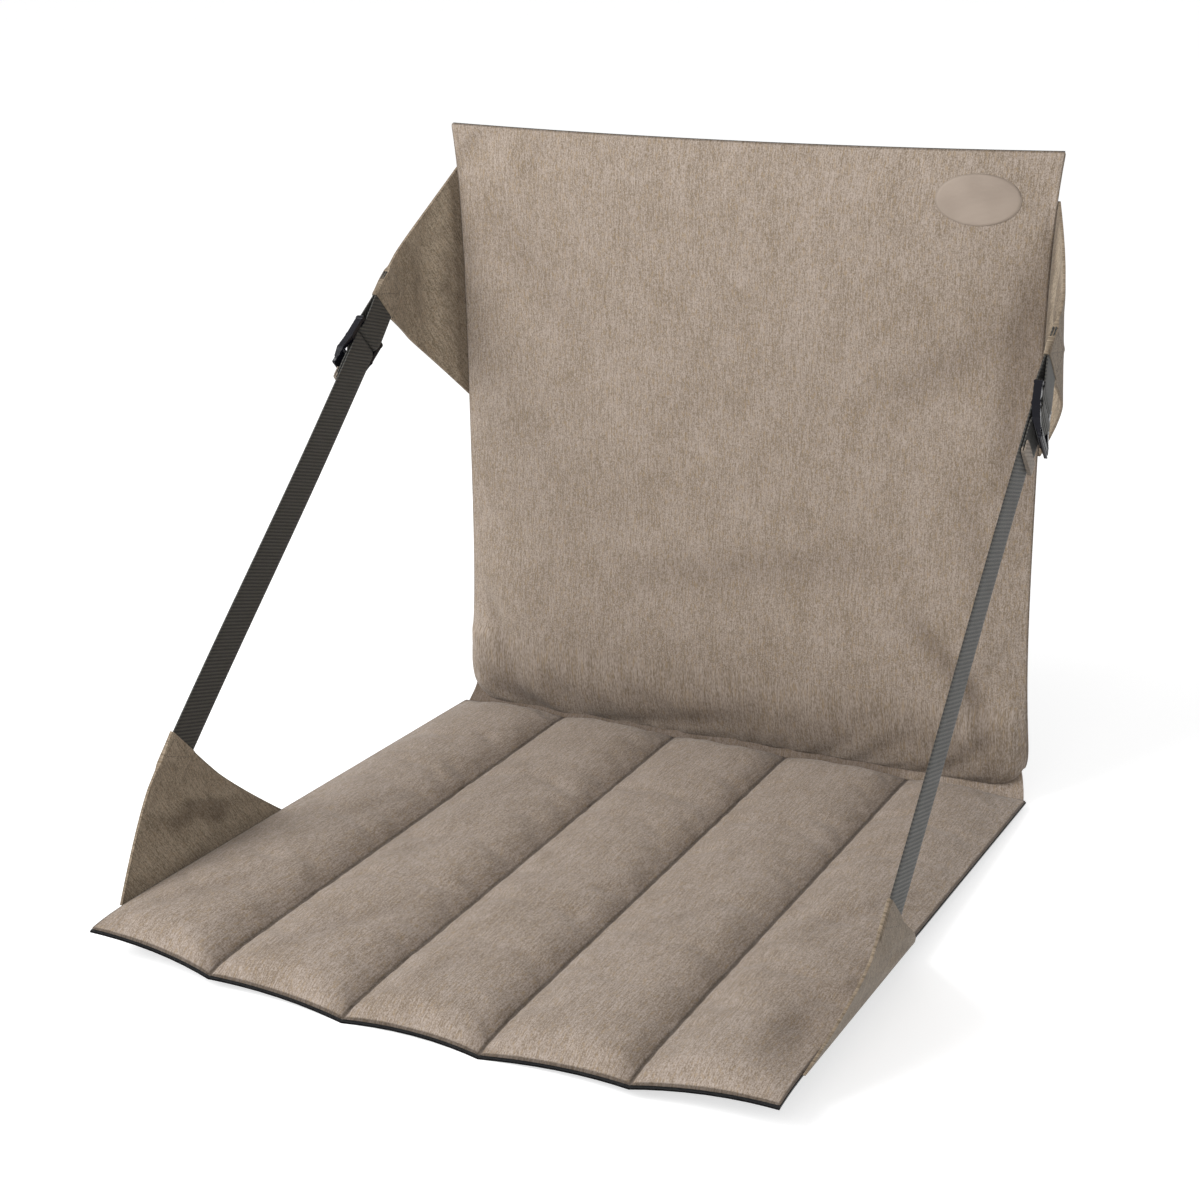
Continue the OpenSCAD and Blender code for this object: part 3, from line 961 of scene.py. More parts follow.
@dataclass
class Seat:
    """The quilted seat: a padded piece in five channels over a coated base."""

    finishes: Finishes
    half_width: float = 0.21
    half_depth: float = 0.21
    crown: float = 0.0138
    held_from: float = 0.2025
    hem: float = 0.2062
    seam_rise: float = 0.0035
    layers: float = 0.0022
    cloth: float = 0.001
    seams: tuple[float, ...] = (-0.21, -0.129, -0.042, 0.042, 0.129, 0.21)
    scallop: float = 0.004
    lift: float = 0.016
    arch: float = 0.001
    front_drop: float = 0.9
    flat_share: float = 0.2
    roll: float = 0.012
    roll_out: float = 0.0009
    gather_reach: float = 0.013
    sewn_in: float = 0.0011
    sewn_width: float = 0.0016
    dent: Place = (0.192, -0.145)
    dent_size: Place = (0.012, 0.035)
    dent_depth: float = 0.0032
    base_cut: Place = (0.42, 0.423)
    gathers: tuple[Waves, Waves] = (Waves(0.0005, 0.012, 0.05, 4.0), Waves(0.0003, 0.005, 0.03, 8.0))
    dents: Waves = Waves(0.0009, 0.03, 0.075, 1.0)
    creases: tuple[Crease, ...] = (
        Crease((-0.195, -0.19), (-0.15, -0.1), 0.008, 0.0014), Crease((-0.165, -0.03), (-0.14, 0.05), 0.007, 0.0011),
        Crease((-0.11, -0.185), (-0.06, -0.09), 0.008, 0.0015), Crease((-0.115, -0.06), (-0.075, 0.0), 0.007, 0.0009),
        Crease((-0.03, -0.19), (0.01, -0.12), 0.008, 0.0009), Crease((0.06, -0.1), (0.1, -0.02), 0.008, 0.0008),
        Crease((0.15, -0.06), (0.195, 0.03), 0.008, 0.0012))

    def across(self, u: Array) -> Array:
        """Distance across the chair at a station, which is a channel number plus a share."""
        return np.interp(u, range(len(self.seams)), self.seams)

    def place(self, u: Array) -> Array:
        """Place between two seams at a station, from -1 to 1."""
        return 2 * (u - np.minimum(np.floor(u), len(self.seams) - 2)) - 1

    def along(self, u: Array, v: Array) -> Array:
        """Distance from the middle of the seat to a station along its depth."""
        drawn = self.scallop * (1 - self.place(u) ** 2) * np.abs(v) ** 24
        return v * self.half_depth + np.where(v < 0, drawn, 0)

    def rise(self, u: Array, v: Array) -> Array:
        """Lift of the sides toward the front, with a small arch in each channel's front edge."""
        x, y = self.across(u), self.along(u, v)
        bend = np.maximum(0, np.abs(x) / self.half_width - self.flat_share) / (1 - self.flat_share)
        curl = self.lift * (self.half_depth - y) / (2 * self.half_depth) * bend ** 1.6
        front = self.arch * (1 - self.place(u) ** 2) * np.where(v < 0, np.abs(v) ** 30, 0)
        return curl + front

    def seam_height(self, v: Array) -> Array:
        """Height of the seams over the flat of the base, which is less at the front edge."""
        return self.seam_rise * (1 - self.front_drop * np.where(v < 0, np.abs(v) ** 12, 0))

    def top(self, u: Array, v: Array) -> Array:
        """Upper side of the padded piece, before it swells."""
        place = self.place(u)
        outer = ((u < 1) & (place < 0)) | ((u > len(self.seams) - 2) & (place > 0))
        swell = (1 - np.abs(place) ** np.where(outer, 1.8, 4.5)) * (1 - np.abs(v) ** np.where(v < 0, 16, 24))
        base = self.seam_height(v) + self.layers
        height = self.rise(u, v) + base + (self.crown - base) * swell
        return np.stack([self.across(u), self.along(u, v), height], axis=1)

    def under(self, u: Array, v: Array, lift: float) -> Array:
        """Underside of the seat, raised by a thickness."""
        c = np.abs(self.place(u))
        pinch = np.maximum(np.maximum(0, 2 * c - 1) ** 3, np.abs(v) ** 24) * self.seam_height(v)
        return np.stack([self.across(u), self.along(u, v), self.rise(u, v) + pinch + lift], axis=1)

    def flat(self, u: Array, v: Array) -> Array:
        """Flat place of the cloth at two stations."""
        return np.stack([self.across(u), v * self.half_depth], axis=1)

    def columns(self, count: int, even: float) -> Array:
        """Stations across, with a number of steps in each channel that lie closer together at the seams."""
        channels, within = len(self.seams) - 1, (eased(count, even)[:-1] + 1) / 2
        return np.concatenate([k + within for k in range(channels)] + [[float(channels)]])

    def left_gap(self, x: Array) -> Array:
        """Distance to the next inner seam on the right, along the slope that turns from the light."""
        ahead = np.array(self.seams[1:-1]) - x[:, None]
        return np.min(np.where(ahead < 0, 1.0, ahead), axis=1)

    def seam_gap(self, places: Array) -> Array:
        """Distance from flat places to the nearest seam or edge."""
        across = np.min(np.abs(places[:, :1] - np.array(self.seams)), axis=1)
        return np.minimum(across, self.half_depth - np.abs(places[:, 1]))

    def build_pad(self) -> Object:
        """Models the padded piece: crowned channels, swollen by simulation, with seams, puckers and dents.

        Returns:
            The piece.
        """
        obj = doubled_sheet("seat_pad", self.columns(20, 0.55), eased(96, 0.6), self.top,
                            lambda u, v: self.under(u, v, self.cloth + 0.0002), self.flat)
        places = read_map(obj)
        upper = np.arange(len(places)) < len(places) // 2
        held = (self.seam_gap(places) < 1e-4) | ~upper | (np.abs(places[:, 0]) > self.held_from)
        inflate(obj, held, 3.0, 0.012, 0.0025)
        finish_with(obj, "SUBSURF", levels=1, render_levels=1, uv_smooth="NONE")
        self.ease_pad(obj)
        shade(obj, 70.0)
        return obj

    def ease_pad(self, obj: Object) -> None:
        """Adds seams, puckers and dents to the upper side, and stores painted shade on the slopes beside the seams,
        in the creases and the dent, and along the rear edge.

        Args:
            obj: The padded piece.
        """
        points, places = coords(obj), read_map(obj)
        x, y = places[:, 0], places[:, 1]
        facing = np.clip(point_normals(obj)[:, 2] * 2, 0, 1)
        seam = np.min(np.abs(x[:, None] - np.array(self.seams[1:-1])), axis=1)
        edge = np.minimum(self.half_width - np.abs(x), self.half_depth - np.abs(y))
        gap = np.minimum(seam, edge)
        gather = np.exp(-gap / self.gather_reach) * smooth(0.0, 0.004, gap)
        coarse, fine = self.gathers
        depth = gather * (coarse.at(y + 3 * coarse.across * np.sign(x), x) + fine.at(y, x))
        depth += smooth(0.0, 0.02, gap) * self.dents.at(x + 0.6 * y, y - 0.6 * x)
        folded = sum(crease.at(x, y) for crease in self.creases)
        depth -= self.sewn_in * np.exp(-(seam / self.sewn_width) ** 2)
        off_x, off_y = ((at - middle) / size for at, middle, size in zip((x, y), self.dent, self.dent_size))
        hollow = np.exp(-off_x ** 2 - off_y ** 2)
        depth -= folded + self.dent_depth * hollow
        points[:, 2] += depth * facing
        # Painted shade on the slope left of each inner seam, which turns from the light, and along the rear edge
        # where the back overhangs. Creases and the dent get painted shade too.
        slope = smooth(0.017, 0.004, self.left_gap(x))
        rear = 0.7 * smooth(0.006, 0.001, self.half_depth - y) * smooth(0.19, 0.12, x)
        write_values(obj, FOLD_SHADE, np.clip(0.35 * slope + 180 * folded + 0.5 * hollow + rear, 0, 0.8))
        set_coords(obj, points)
        write_values(obj, SEAM_GAP, np.minimum(self.seam_gap(places), 1.0))

    def build_base(self) -> Object:
        """Models the coated base, with a small roll along the front edge.

        Returns:
            The piece.
        """
        rows = np.concatenate([-1 - np.linspace(self.roll, 0, 9)[:-1], eased(44, 0.6)])

        def rolled(u: Array, v: Array, lift: float) -> Array:
            """The underside, and beyond its front edge a roll that comes back up to the seam."""
            turn = np.sin(np.pi * np.clip((-1 - v) / self.roll, 0, 1))
            points = self.under(u, np.maximum(v, -1.0), lift)
            flat = self.rise(u, np.maximum(v, -1.0))
            height = np.maximum(points[:, 2] - lift - flat, 0.0002)
            front = v < -1
            points[front, 1] -= (self.roll_out * turn)[front]
            points[front, 2] = (flat + lift + height * (1 - 0.9 * turn))[front]
            return points

        obj = doubled_sheet("seat_base", self.columns(8, 0.7), rows, lambda u, v: rolled(u, v, self.cloth),
                            lambda u, v: rolled(u, v, 0.0), self.flat)
        write_values(obj, SEAM_GAP, np.minimum(self.seam_gap(read_map(obj)), 1.0))
        shade(obj, 60.0)
        return obj

    def stitch_rows(self, landing: Landing) -> list[Row]:
        """Finds the rows of stitches in the four seams and beside both edges.

        Args:
            landing: The surface of the padded piece.

        Returns:
            The points and normals of each row.
        """
        rows = []
        for x in (-self.hem, *self.seams[1:-1], self.hem):
            y = np.linspace(-self.half_depth + 0.002, self.half_depth - 0.002, 120)
            above = np.stack([np.full_like(y, x), y, np.full_like(y, 0.1)], axis=1)
            points, _ = landing.drop(above, (0, 0, -1))
            rows.append((points, np.tile([0.0, 0.0, 1.0], (len(y), 1))))
        return rows

    def build(self) -> None:
        """Builds and dresses the seat."""
        pad = self.build_pad()
        foams = [f"seat_foam_{i}" for i in range(1, len(self.seams))]
        dress(pad, self.finishes.seat_cloth, "seat_cloth", "seat_top_cover", *foams)
        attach(pad, "seat")
        base = self.build_base()
        dress(base, self.finishes.coated, "coated_cloth", "seat_base_cover")
        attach(base, "seat")
        stitches = Needlework().sew("seat_stitches", self.stitch_rows(Landing(pad)))
        dress(stitches, self.finishes.dark_thread, "seat_cloth")
        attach(stitches, "seat")


# ---- Back


@dataclass
class Back:
    """The plain padded back, its coated rear, the hinge cloth and the oval patch."""

    finishes: Finishes
    half_width: float = 0.21
    draw: float = 0.007
    corner: float = 0.004
    belly: float = 0.0098
    low: float = 0.024
    height: float = 0.396
    sag: float = 0.003
    middle: float = 0.2181
    turn_from: float = -0.79
    edge: float = 0.0011
    crown: float = 0.0052
    rear_crown: float = 0.0035
    cloth: float = 0.001
    roll_centre: float = 0.2158
    roll_reach: Place = (0.0128, 0.0558)
    roll_end: Place = (0.217, -0.0416)
    hang: float = 0.004
    held_to: float = 0.012
    tucks: Place = (-0.042, 0.042)
    tuck_depth: float = 0.0015
    tuck_width: float = 0.0035
    rear_share: float = 0.994
    hinge_bow: float = 0.0025
    hinge_from: Place = (0.2102, 0.0037)
    hinge_to: Place = (0.2181, 0.0238)
    hinge_half: float = 0.203
    hinge_length: float = 0.0225
    patch_x: float = 0.159
    patch_z: float = 0.3895
    patch_size: Place = (0.053, 0.031)
    patch_hem: float = 0.0016
    edge_gathers: Waves = Waves(0.0006, 0.011, 0.04, 3.0)
    dents: tuple[Waves, Waves] = (Waves(0.0009, 0.06, 0.07, 5.0), Waves(0.00035, 0.02, 0.03, 6.0))
    bottom_gathers: Waves = Waves(0.0011, 0.017, 0.05, 12.0)
    rear_dents: Waves = Waves(0.0005, 0.07, 0.07, 7.0)
    creases: tuple[Crease, ...] = (
        Crease((-0.08, 0.095), (0.12, 0.13), 0.014, 0.0018), Crease((0.2, 0.29), (0.11, 0.235), 0.014, 0.0018),
        Crease((0.195, 0.03), (0.13, 0.1), 0.008, 0.0032), Crease((0.19, 0.015), (0.165, 0.07), 0.005, 0.002),
        Crease((-0.2, 0.03), (-0.14, 0.016), 0.005, 0.0024), Crease((-0.2, 0.07), (-0.16, 0.02), 0.006, 0.0018),
        Crease((-0.19, 0.35), (-0.1, 0.25), 0.016, 0.0009), Crease((0.16, 0.2), (0.19, 0.09), 0.01, 0.0014),
        Crease((0.196, 0.32), (0.188, 0.18), 0.01, 0.0022), Crease((-0.1, 0.014), (0.02, 0.028), 0.005, 0.0018))

    def half(self, v: Array) -> Array:
        """Half the width at a height station, drawn in along the sides and at the lower corners."""
        return self.half_width - self.draw * (1 - v ** 4) - self.corner * np.where(v < 0, np.abs(v) ** 30, 0)

    def level(self, u: Array, v: Array) -> Array:
        """Height above the floor at two stations."""
        return self.low + (v + 1) / 2 * (self.height - self.sag * (1 - u * u))

    @staticmethod
    def pillow(u: Array, v: Array, pu: float, pv: float) -> Array:
        """Share of the full swell at two stations."""
        return np.maximum(0, 1 - np.sqrt(np.abs(u) ** (2 * pu) + np.abs(v) ** (2 * pv)))

    def front(self, u: Array, v: Array) -> Array:
        """Front side of the padded piece, before it swells, which rolls under at the bottom."""
        x, z = u * self.half(v), self.level(u, v)
        y = self.middle - self.edge - self.crown * self.pillow(u, v, 4, 8)
        ends = 1 - np.abs(u) ** 18
        y = y - ends * self.belly * smooth(-0.2, self.turn_from, v)
        share = np.clip((self.turn_from - v) / (1 + self.turn_from), 0, 1)
        angle = np.radians(np.linspace(180, 278, 30))
        path_y = np.append(self.roll_centre + self.roll_reach[0] * np.cos(angle), self.roll_end[0])
        path_z = np.append(self.roll_reach[1] * np.sin(angle), self.roll_end[1])
        at = np.append(np.linspace(0, 0.9, 30), 1.0)
        hang = self.hang * smooth(0.35, -0.6, u) * np.sin(np.pi * share)
        roll_y = np.interp(share, at, path_y)
        roll_z = self.level(u, np.full_like(v, self.turn_from)) + np.interp(share, at, path_z) - hang
        rolled = (v < self.turn_from) * (1 - np.abs(u) ** 30)
        return np.stack([x, y * (1 - rolled) + roll_y * rolled, z * (1 - rolled) + roll_z * rolled], axis=1)

    def rear(self, u: Array, v: Array, inset: float) -> Array:
        """Rear side, moved forward by an inset."""
        y = self.middle + self.edge + self.rear_crown * self.pillow(u, v, 14, 18) - inset
        return np.stack([u * self.half(v), y, self.level(u, v)], axis=1)

    def flat(self, u: Array, v: Array) -> Array:
        """Flat place of the cloth at two stations."""
        return np.stack([u * self.half_width, (v + 1) / 2 * self.height], axis=1)

    def edge_gap(self, places: Array) -> Array:
        """Distance from flat places to the nearest edge."""
        side = self.half_width - np.abs(places[:, 0])
        return np.minimum(side, np.minimum(places[:, 1], self.height - places[:, 1]))

    def build_pad(self) -> Object:
        """Models the padded piece, swollen by simulation, with puckers and soft dents.

        Returns:
            The piece.
        """
        columns = eased(84, 0.6)
        above = np.sin(np.linspace(0, np.pi / 2, 66)) * 0.35 + np.linspace(0, 1, 66) * 0.65
        rows = np.concatenate([np.linspace(-1, self.turn_from, 25)[:-1],
                               self.turn_from + (1 - self.turn_from) * above])
        obj = doubled_sheet("back_pad", columns, rows, self.front, lambda u, v: self.rear(u, v, self.edge), self.flat)
        places = read_map(obj)
        upper = np.arange(len(places)) < len(places) // 2
        held = (self.edge_gap(places) < 1e-4) | ~upper | (places[:, 1] < self.held_to)
        inflate(obj, held, 2.0, 0.01, 0.003)
        finish_with(obj, "SUBSURF", levels=1, render_levels=1, uv_smooth="NONE")
        self.ease_pad(obj)
        shade(obj, 70.0)
        return obj

    def ease_pad(self, obj: Object) -> None:
        """Adds puckers, creases and dents to the front side, and stores painted shade in the creases, along the
        bottom and beside the right edge.

        Args:
            obj: The padded piece.
        """
        points, places = coords(obj), read_map(obj)
        x, z = places[:, 0], places[:, 1]
        facing = np.clip(-point_normals(obj)[:, 1] * 2, 0, 1)
        side = self.half_width - np.abs(x)
        gap = self.edge_gap(places)
        depth = np.exp(-side / 0.014) * smooth(0, 0.004, side) * self.edge_gathers.at(z, x)
        depth += smooth(0, 0.03, gap) * self.dents[0].at(x, z) + smooth(0, 0.02, gap) * self.dents[1].at(x, z)
        bottom = np.exp(-np.maximum(0, z - self.held_to) / 0.016)
        depth += bottom * self.bottom_gathers.at(x, z)
        for place in self.tucks:
            depth -= self.tuck_depth * bottom * np.exp(-((x - place) / self.tuck_width) ** 2)
        folded = sum(crease.at(x, z) for crease in self.creases)
        depth -= folded
        # Painted shade: darker toward the bottom where the pad rolls under, patchy near the seam, and a band beside
        # the right edge where the pad turns from the light.
        low = smooth(0.045, 0.008, z) * (0.5 + 0.5 * ripple(x / 0.02, z / 0.02, 15.0) * smooth(0.03, 0.01, z))
        beside = smooth(0.03, 0.004, self.half_width - x) * smooth(0.12, 0.2, z) * smooth(0.35, 0.3, z)
        write_values(obj, FOLD_SHADE, np.clip(0.75 * low + 0.45 * beside + 150 * folded, 0, 0.85) * facing)
        points[:, 1] -= depth * facing
        set_coords(obj, points)
        write_values(obj, SEAM_GAP, self.edge_gap(places))

    def build_rear(self) -> Object:
        """Models the coated rear of the back.

        Returns:
            The piece.
        """
        obj = doubled_sheet("back_rear", eased(60, 0.5), eased(60, 0.5), lambda u, v: self.rear(u, v, 0.0),
                            lambda u, v: self.rear(u, v, self.cloth), self.flat)
        points, places = coords(obj), read_map(obj)
        gap = self.edge_gap(places)
        points[:, 1] += smooth(0, 0.03, gap) * self.rear_dents.at(places[:, 0], places[:, 1])
        points[:, 0] *= self.rear_share
        set_coords(obj, points)
        write_values(obj, SEAM_GAP, gap)
        shade(obj, 60.0)
        return obj

    def build_hinge(self) -> Object:
        """Models the strip of cloth between the seat's rear seam and the back's bottom seam, with painted shade on
        all but its right end.

        Returns:
            The piece.
        """
        (start_y, low_z), (end_y, high_z) = self.hinge_from, self.hinge_to
        half_length = 0.0115

        def strip(u: Array, v: Array, off: float) -> Array:
            """A shallow bow from seam to seam."""
            s = (v + 1) / 2
            y = start_y + (end_y - start_y) * s + self.hinge_bow * np.sin(np.pi * s) + off
            y = y + 0.0004 * np.sin(np.pi * s) * ripple(u * 14, s * 2, 9.0)
            return np.stack([u * (0.208 - 0.005 * s), y, low_z + (high_z - low_z) * s], axis=1)

        obj = doubled_sheet("hinge_cloth", np.linspace(-1, 1, 121), np.linspace(-1, 1, 15),
                            lambda u, v: strip(u, v, self.cloth), lambda u, v: strip(u, v, 0.0),
                            lambda u, v: np.stack([u * self.hinge_half, v * half_length], axis=1))
        places = read_map(obj)
        write_values(obj, SEAM_GAP, half_length - np.abs(places[:, 1]))
        # Painted shade over the hinge strip, under the back's roll, fading out toward its right end.
        write_values(obj, FOLD_SHADE, 0.9 * smooth(0.15, 0.1, places[:, 0]))
        shade(obj, 60.0)
        return obj

    def build_patch(self, landing: Landing) -> Object:
        """Models the plain oval patch on the front of the back.

        Args:
            landing: The surface of the padded piece.

        Returns:
            The piece.
        """
        def oval(u: Array, v: Array, off: float) -> Array:
            """A disc stretched to an oval, laid on the cloth."""
            a, b = u * np.sqrt(1 - v * v / 2), v * np.sqrt(1 - u * u / 2)
            before = np.stack([self.patch_x + a * self.patch_size[0] / 2, np.full_like(a, 0.1),
                               self.patch_z + b * self.patch_size[1] / 2], axis=1)
            points, _ = landing.drop(before, (0, 1, 0))
            rim = np.clip(1 - np.sqrt(a * a + b * b), 0, 1)
            points[:, 1] -= off * (0.35 + 0.65 * smooth(0, 0.07, rim))
            return points

        def flat(u: Array, v: Array) -> Array:
            """Flat place on the patch."""
            return np.stack([u * np.sqrt(1 - v * v / 2) * self.patch_size[0] / 2,
                             v * np.sqrt(1 - u * u / 2) * self.patch_size[1] / 2], axis=1)

        obj = doubled_sheet("oval_patch", np.linspace(-1, 1, 41), np.linspace(-1, 1, 41),
                            lambda u, v: oval(u, v, 0.0007), lambda u, v: oval(u, v, 0.0001), flat)
        places = read_map(obj)
        radius = np.hypot(places[:, 0] / self.patch_size[0] * 2, places[:, 1] / self.patch_size[1] * 2)
        write_values(obj, SEAM_GAP, (1 - radius) * self.patch_size[1] / 2)
        shade(obj, 60.0)
        return obj

    def ride(self, piece: Object) -> None:
        """Hangs a front piece on the back and gives it a mesh of its own."""
        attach(piece, "backrest")
        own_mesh(piece)

    def build(self) -> None:
        """Builds and dresses the back."""
        pad = self.build_pad()
        dress(pad, self.finishes.back_cloth, "seat_cloth", "back_front_cover", "back_foam", "back_board")
        self.ride(pad)
        rear = self.build_rear()
        dress(rear, self.finishes.coated, "coated_cloth", "back_rear_cover")
        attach(rear, "backrest")
        hinge = self.build_hinge()
        dress(hinge, self.finishes.seat_cloth, "seat_cloth", "hinge_strip")
        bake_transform(hinge)
        landing = Landing(pad)
        patch = self.build_patch(landing)
        dress(patch, self.finishes.patch, "patch", "label_patch")
        self.ride(patch)
        angle = np.linspace(0, 2 * np.pi, 90)
        reach_x, reach_z = (size / 2 - self.patch_hem for size in self.patch_size)
        ring = np.stack([self.patch_x + reach_x * np.cos(angle), np.full_like(angle, 0.1),
                         self.patch_z + reach_z * np.sin(angle)], axis=1)
        stitches = Needlework(0.0018, 0.0024, 0.0004).sew("patch_stitches", [Landing(patch).drop(ring, (0, 1, 0))])
        dress(stitches, self.finishes.pale_thread, "patch")
        self.ride(stitches)


# ---- Straps and wings


@dataclass
class StrapLine:
    """The straight line beside the chair that both ends of a strap lie on."""

    side: Side
    x: float = 0.226
    low: Place = (-0.096, 0.08)
    top: Place = (0.147, 0.307)
    bar_drop: float = 0.035
    bar_out: float = 0.0029
    uneven: float = 0.006

    @property
    def low_shift(self) -> float:
        """How far the low end hangs above its place, as the two wings aren't pulled alike."""
        return -self.side.sign * self.uneven

    @property
    def run(self) -> float:
        """Length from tip to tip."""
        return math.hypot(self.top[0] - self.low[0], self.top[1] - self.low[1])

    @property
    def along(self) -> Array:
        """Unit vector up the strap."""
        return np.array([0.0, self.top[0] - self.low[0], self.top[1] - self.low[1]]) / self.run

    @property
    def across(self) -> Array:
        """Unit vector across the webbing."""
        return np.array([0.0, -self.along[2], self.along[1]])

    def place(self, s: Array, n: Array, w: Array) -> Array:
        """Turns strap places into points.

        Args:
            s: Distance up the strap from the buckle's middle bar.
            n: Distance outward from the axis of that bar.
            w: Distance across the webbing.

        Returns:
            One point for each place.
        """
        bar = np.array([0.0, *self.top]) - self.bar_drop * self.along
        points = bar + np.outer(s, self.along) + np.outer(w, self.across)
        points[:, 0] = self.side.sign * (self.x + self.bar_out + n)
        points[:, 2] += self.low_shift * smooth(-0.06, self.bar_drop - self.run, s)
        return points

    def point(self, s: float) -> tuple[float, ...]:
        """The point on the line at a distance up the strap from the buckle's middle bar."""
        return tuple(self.place(np.array([s]), np.array([0.0]), np.array([0.0]))[0])


@dataclass
class Webbing:
    """One flat webbing that follows a path beside the chair."""

    line: StrapLine
    width: float = 0.025
    thick: float = 0.0015
    step: float = 0.0015
    turn: float = 0.0029
    slack: float = 2.35

    @staticmethod
    def arc(centre: Place, radius: float, start: float, end: float, steps: int) -> Array:
        """Points on an arc.

        Args:
            centre: Its centre, along and outward.
            radius: Its radius.
            start: Start angle in degrees.
            end: End angle in degrees.
            steps: Number of points.

        Returns:
            The points.
        """
        angle = np.radians(np.linspace(start, end, steps))
        return np.stack([centre[0] + radius * np.cos(angle), centre[1] + radius * np.sin(angle)], axis=1)

    def ribbon(self, name: str, path: Array, thinner: float = 0.0) -> Object:
        """Sweeps the webbing's section along a path.

        Args:
            name: The piece's name.
            path: Places along and outward from the buckle's middle bar.
            thinner: How much is taken off the thickness.

        Returns:
            The webbing.
        """
        centre = resample(path, self.step)
        ahead = np.gradient(centre, axis=0)
        ahead /= np.linalg.norm(ahead, axis=1, keepdims=True)
        out = np.stack([-ahead[:, 1], ahead[:, 0]], axis=1)
        length = np.concatenate([[0], np.cumsum(spans(centre))])
        half = (self.thick - thinner) / 2

        def skin(u: Array, v: Array, way: float) -> Array:
            """One side of the webbing, thinner at its selvedges."""
            i = np.rint(v).astype(int)
            off = way * half * (1 - 0.45 * np.abs(u) ** 10)
            return self.line.place(centre[i, 0] + off * out[i, 0], centre[i, 1] + off * out[i, 1],
                                   u * self.width / 2)

        obj = doubled_sheet(name, eased(12, 0.4), np.arange(len(centre)).astype(float), lambda u, v: skin(u, v, 1.0),
                            lambda u, v: skin(u, v, -1.0),
                            lambda u, v: np.stack([u * self.width / 2, length[np.rint(v).astype(int)]], axis=1))
        shade(obj, 50.0)
        return obj

    def build_strap(self) -> tuple[Object, float]:
        """Models the strap: up from the seat wing, over the middle bar and down to the folded end of its tail.

        Returns:
            The strap and the length of its path.
        """
        low = -(self.line.run - self.line.bar_drop) - 0.02
        lean = math.radians(24)
        over = self.arc((0, 0), self.turn, -90, 114, 30)
        over[:, 0] *= np.where(over[:, 0] > 0, self.slack, 1.0)
        path = np.vstack([
            [[low, -self.turn], [-0.003, -self.turn]], over,
            [[-self.turn * math.sin(lean) - 0.0022, self.turn * math.cos(lean) - 0.00105]],
            [[-0.0075, -0.0003], [-0.0088, -0.0009], [-0.0102, -0.0012], [-0.0302, -0.0012]],
            self.arc((-0.0302, -0.00042), 0.00078, -90, -270, 12), [[-0.0232, 0.00036]]])
        length = float(np.sum(spans(path)))
        return self.ribbon(f"strap_webbing_{self.line.side.value}", path), length

    def build_anchor(self) -> tuple[Object, float]:
        """Models the doubled webbing from the back wing round the buckle's top bar.

        Returns:
            The loop and the length of its path.
        """
        turn = self.arc((0.0, 0.0), self.turn, 82, 278, 26)
        turn[:, 0] *= np.where(turn[:, 0] < 0, self.slack, 1.0)
        path = np.vstack([[[0.0545, -0.00205], [0.034, -0.00205]], turn + (0.014, -0.0019),
                          [[0.034, -0.00375], [0.0545, -0.00375]]])
        length = float(np.sum(spans(path)))
        return self.ribbon(f"anchor_webbing_{self.line.side.value}", path, 0.0001), length


